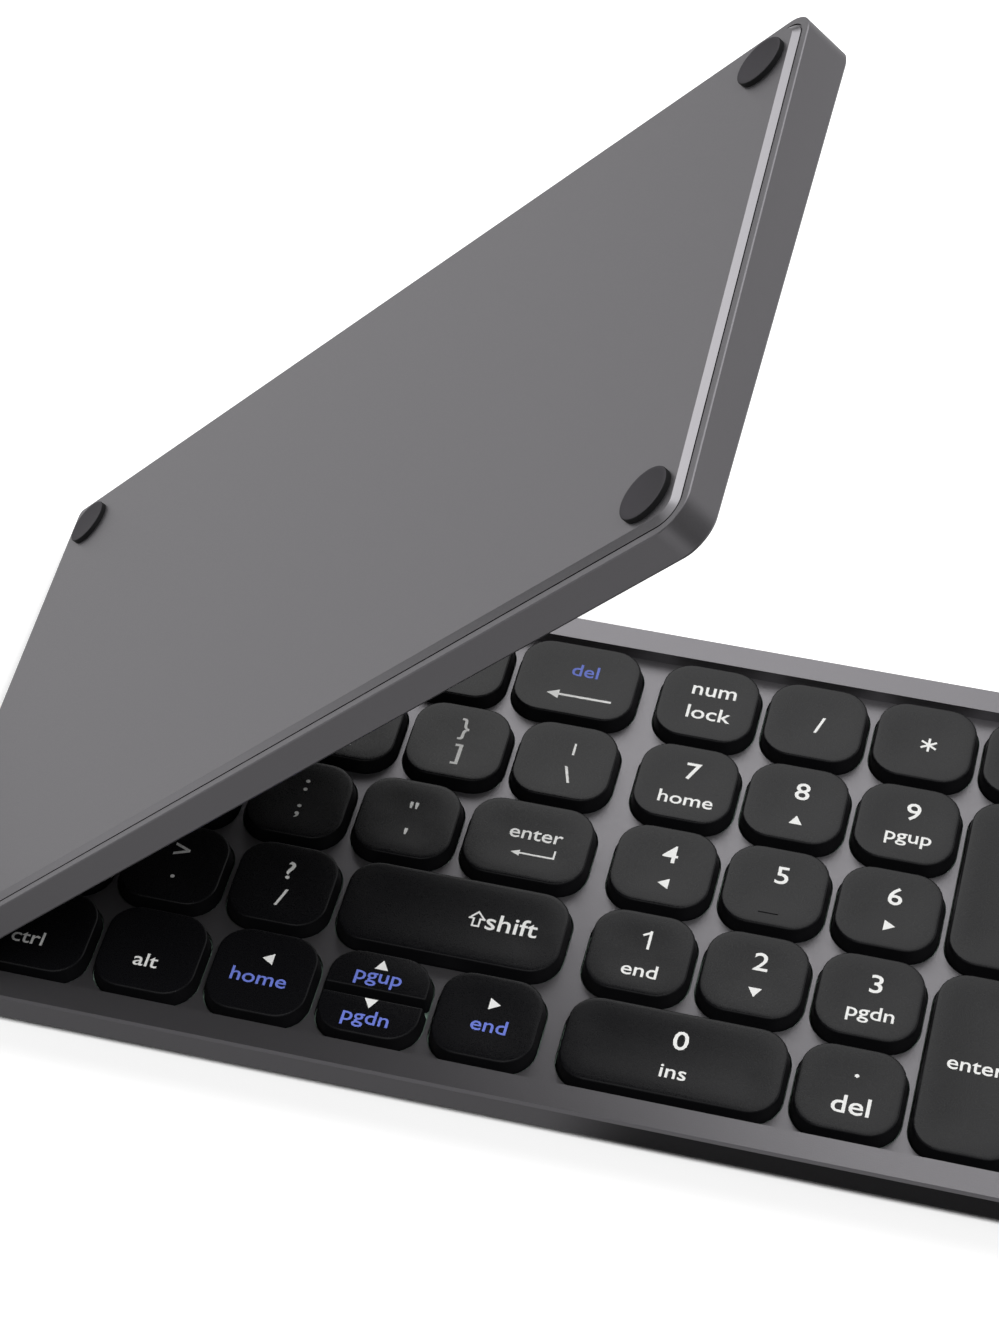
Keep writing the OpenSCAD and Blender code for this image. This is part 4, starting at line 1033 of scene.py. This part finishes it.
def white_table():
    """White laminate table. The camera sees it white, with the object's shadow near to it, and
    mirrors see it with the painted light and shade that the values above give."""
    made = bpy.data.materials.new("white_laminate_table")
    made.use_nodes = True
    tree = made.node_tree
    tree.nodes.clear()
    ray = node(tree, "ShaderNodeLightPath")
    mirror = node(tree, "ShaderNodeMath", {"operation": "MAXIMUM"},
                  i0=ray.outputs["Is Glossy Ray"], i1=ray.outputs["Is Transmission Ray"])
    place = node(tree, "ShaderNodeTexCoord").outputs["Object"]

    back_left = node(tree, "ShaderNodeVectorMath", {"operation": "DOT_PRODUCT", 1: BACK_LEFT},
                     i0=place)
    behind = node(tree, "ShaderNodeMapRange",
                  {"interpolation_type": "SMOOTHSTEP", "From Min": BEHIND[0],
                   "From Max": BEHIND[1], "To Min": 0.0, "To Max": BEHIND_LEVEL},
                  Value=back_left.outputs["Value"])
    reach = node(tree, "ShaderNodeVectorMath", {"operation": "LENGTH"}, i0=place)
    far_off = node(tree, "ShaderNodeMapRange",
                   {"interpolation_type": "SMOOTHSTEP", "From Min": FAR[0], "From Max": FAR[1],
                    "To Min": 0.0, "To Max": FAR_LEVEL}, Value=reach.outputs["Value"])
    brighter = node(tree, "ShaderNodeMath", {"operation": "MAXIMUM"}, i0=behind.outputs[0],
                    i1=far_off.outputs[0])
    bearing = node(tree, "ShaderNodeVectorMath", {"operation": "NORMALIZE"}, i0=place)
    front_right = node(tree, "ShaderNodeVectorMath",
                       {"operation": "DOT_PRODUCT", 1: FRONT_RIGHT}, i0=bearing.outputs[0])
    # Painted shade: 0 in the black patch at the front right, 1 outside it
    outside_painted_dark = node(tree, "ShaderNodeMapRange",
                {"interpolation_type": "SMOOTHSTEP", "From Min": PAINTED_DARK[0], "From Max": PAINTED_DARK[1],
                 "To Min": 1.0, "To Max": 0.0}, Value=front_right.outputs["Value"])
    glow_outside_painted_dark = node(tree, "ShaderNodeMath", {"operation": "MULTIPLY"}, i0=brighter.outputs[0],
                     i1=outside_painted_dark.outputs[0])
    table_glow = node(tree, "ShaderNodeMath", {"operation": "MULTIPLY"}, i0=mirror.outputs[0],
                      i1=glow_outside_painted_dark.outputs[0])

    either_side = node(tree, "ShaderNodeVectorMath", {"operation": "ABSOLUTE"}, i0=place)
    past_edge = node(tree, "ShaderNodeVectorMath", {"operation": "SUBTRACT", 1: FOOTPRINT},
                     i0=either_side.outputs[0])
    past_edge = node(tree, "ShaderNodeSeparateXYZ", None, Vector=past_edge.outputs[0])
    outside = node(tree, "ShaderNodeMath", {"operation": "MAXIMUM"}, i0=past_edge.outputs["X"],
                   i1=past_edge.outputs["Y"])
    clear = node(tree, "ShaderNodeMapRange",
                 {"interpolation_type": "SMOOTHSTEP", "From Min": CLEAR[0], "From Max": CLEAR[1],
                  "To Min": 0.0, "To Max": CLEAR_LEVEL}, Value=outside.outputs[0])
    near = node(tree, "ShaderNodeMapRange",
                {"interpolation_type": "SMOOTHSTEP", "From Min": NEAR[0], "From Max": NEAR[1],
                 "To Min": 0.0, "To Max": NEAR_LEVEL}, Value=outside.outputs[0])
    mirror_glow = node(tree, "ShaderNodeMath", {"operation": "MULTIPLY_ADD"},
                       i0=mirror.outputs[0], i1=near.outputs[0], i2=table_glow.outputs[0])
    level = node(tree, "ShaderNodeMath", {"operation": "MULTIPLY_ADD"},
                 i0=ray.outputs["Is Camera Ray"], i1=clear.outputs[0], i2=mirror_glow.outputs[0])
    glow = node(tree, "ShaderNodeEmission", {"Color": linear("#ffffff")},
                Strength=level.outputs[0])

    # Mirrors see the table dull grey, and black in the painted-shade patch
    dull = node(tree, "ShaderNodeBsdfDiffuse",
                Color=blend_colours(tree, outside_painted_dark.outputs[0], "#060606", "#888888"))
    white = node(tree, "ShaderNodeBsdfDiffuse", {"Color": linear("#fcfcfc")})
    matte = node(tree, "ShaderNodeMixShader", None, i0=ray.outputs["Is Camera Ray"],
                 i1=dull.outputs[0], i2=white.outputs[0])
    both = node(tree, "ShaderNodeAddShader", None, i0=matte.outputs[0], i1=glow.outputs[0])
    node(tree, "ShaderNodeOutputMaterial", None, Surface=both.outputs[0])
    return made


TABLE_SIZE = 6.0
stage_plane("table", TABLE_SIZE, 0.0, white_table())

scene = bpy.context.scene
scene.view_settings.view_transform = "Standard"

# What mirrors see: direction to each light box, the cosine of the angle from it where its glow
# starts and where it is full, and its strength. MIRRORED_ROOM is the level between them, and
# PLAIN_ROOM the level that falls on dull surfaces.
SOFTBOXES = [((-0.3, 0.6, 0.74), 0.84, 0.96, 1.65), ((-0.78, 0.36, 0.51), 0.75, 0.95, 0.8),
             ((0.0, -0.74, 0.67), 0.88, 0.98, 0.6), ((0.2, -0.1, 0.97), 0.88, 0.97, 0.9),
             ((0.69, 0.67, 0.28), 0.7, 0.95, 0.45)]
MIRRORED_ROOM, PLAIN_ROOM = 0.1, 0.2


def studio_world():
    """A white studio for the eye. Mirrors see its light boxes: a big one behind, one on the left,
    one in front, one overhead and a dim one low on the right."""
    world = bpy.data.worlds.new("studio")
    scene.world = world
    world.use_nodes = True
    tree = world.node_tree
    tree.nodes.clear()
    way = node(tree, "ShaderNodeTexCoord").outputs["Generated"]
    ray = node(tree, "ShaderNodeLightPath")
    mirror = node(tree, "ShaderNodeMath", {"operation": "MAXIMUM"},
                  i0=ray.outputs["Is Glossy Ray"], i1=ray.outputs["Is Transmission Ray"])
    boxes = []
    for towards, edge, middle, strength in SOFTBOXES:
        facing = node(tree, "ShaderNodeVectorMath", {"operation": "DOT_PRODUCT", 1: towards},
                      i0=way)
        boxes.append(node(tree, "ShaderNodeMapRange",
                          {"interpolation_type": "SMOOTHSTEP", "From Min": edge,
                           "From Max": middle, "To Min": 0.0, "To Max": strength},
                          Value=facing.outputs["Value"]))
    mirrored_level = node(tree, "ShaderNodeMath", {"operation": "MAXIMUM", 1: MIRRORED_ROOM},
                          i0=boxes[0].outputs[0])
    for box in boxes[1:]:
        mirrored_level = node(tree, "ShaderNodeMath", {"operation": "MAXIMUM"},
                              i0=mirrored_level.outputs[0], i1=box.outputs[0])
    plain_level = node(tree, "ShaderNodeMapRange",
                       {"From Min": 0.0, "From Max": 1.0, "To Min": PLAIN_ROOM, "To Max": 1.0},
                       Value=ray.outputs["Is Camera Ray"])
    level = node(tree, "ShaderNodeMix", {"data_type": "FLOAT"}, i0=mirror.outputs[0],
                 i2=plain_level.outputs[0], i3=mirrored_level.outputs[0])
    back = node(tree, "ShaderNodeBackground", {"Color": linear("#ffffff")},
                Strength=level.outputs[0])
    node(tree, "ShaderNodeOutputWorld", None, Surface=back.outputs[0])


studio_world()


def soft_sun(name, towards, angle, strength):
    """Distant lamp in the direction given, as wide as the angle in degrees, so that its light
    falls evenly. Mirrors don't see it, since they see the light boxes."""
    lamp = bpy.data.lights.new(name, "SUN")
    lamp.angle, lamp.energy = math.radians(angle), strength
    made = bpy.data.objects.new(name, lamp)
    scene.collection.objects.link(made)
    made.rotation_mode = "QUATERNION"
    made.rotation_quaternion = Vector(towards).to_track_quat("Z", "Y")
    made.visible_glossy = False


SUN_TOWARDS, SUN_ANGLE, SUN_STRENGTH = (0.3, -0.3, 0.9), 25, 2.8
soft_sun("softbox_above", SUN_TOWARDS, SUN_ANGLE, SUN_STRENGTH)

# Camera, from a perspective fit of the key, rim, lid and foot edges: its focal length and the foot
# of its axis in pixels of the frame, its place in the pad's corner frame and its turn
FOCAL_PX = 3371.88
CENTRE_PX = (435.968, 695.815)
FRAME_W, FRAME_H = 999, 1333
SENSOR = 36.0
EYE = np.array([64.705, -273.844, 412.506]) + [X_PAD, Y_CELLS, 0]
TURN = np.array([2.4164349, 0.2986393, -0.1430614])


def turn_matrix(vector):
    """Rotation by the vector's length about it, by Rodrigues' formula. Its rows are the camera's
    right, down and forward in the deck frame."""
    angle = np.linalg.norm(vector)
    x, y, z = vector / angle
    cross = np.array([[0, -z, y], [z, 0, -x], [-y, x, 0]])
    return np.eye(3) + math.sin(angle) * cross + (1 - math.cos(angle)) * cross @ cross


def fitted_camera():
    """Camera at the fitted place. Its lens and shift give the frame its focal length and foot."""
    camera = bpy.data.cameras.new("camera")
    camera.sensor_fit, camera.sensor_width = "AUTO", SENSOR
    camera.lens = FOCAL_PX * SENSOR / FRAME_H
    camera.shift_x = (FRAME_W / 2 - CENTRE_PX[0]) / FRAME_H
    camera.shift_y = (CENTRE_PX[1] - FRAME_H / 2) / FRAME_H
    camera.clip_start, camera.clip_end = 0.02, 20.0
    made = bpy.data.objects.new("camera", camera)
    scene.collection.objects.link(made)
    across, down, forward = turn_x(turn_matrix(TURN), WEDGE)
    place = np.eye(4)
    place[:3, :3] = np.column_stack([across, -down, -forward])
    place[:3, 3] = right(EYE[None])[0]
    made.matrix_world = Matrix(place.tolist())
    scene.camera = made


fitted_camera()
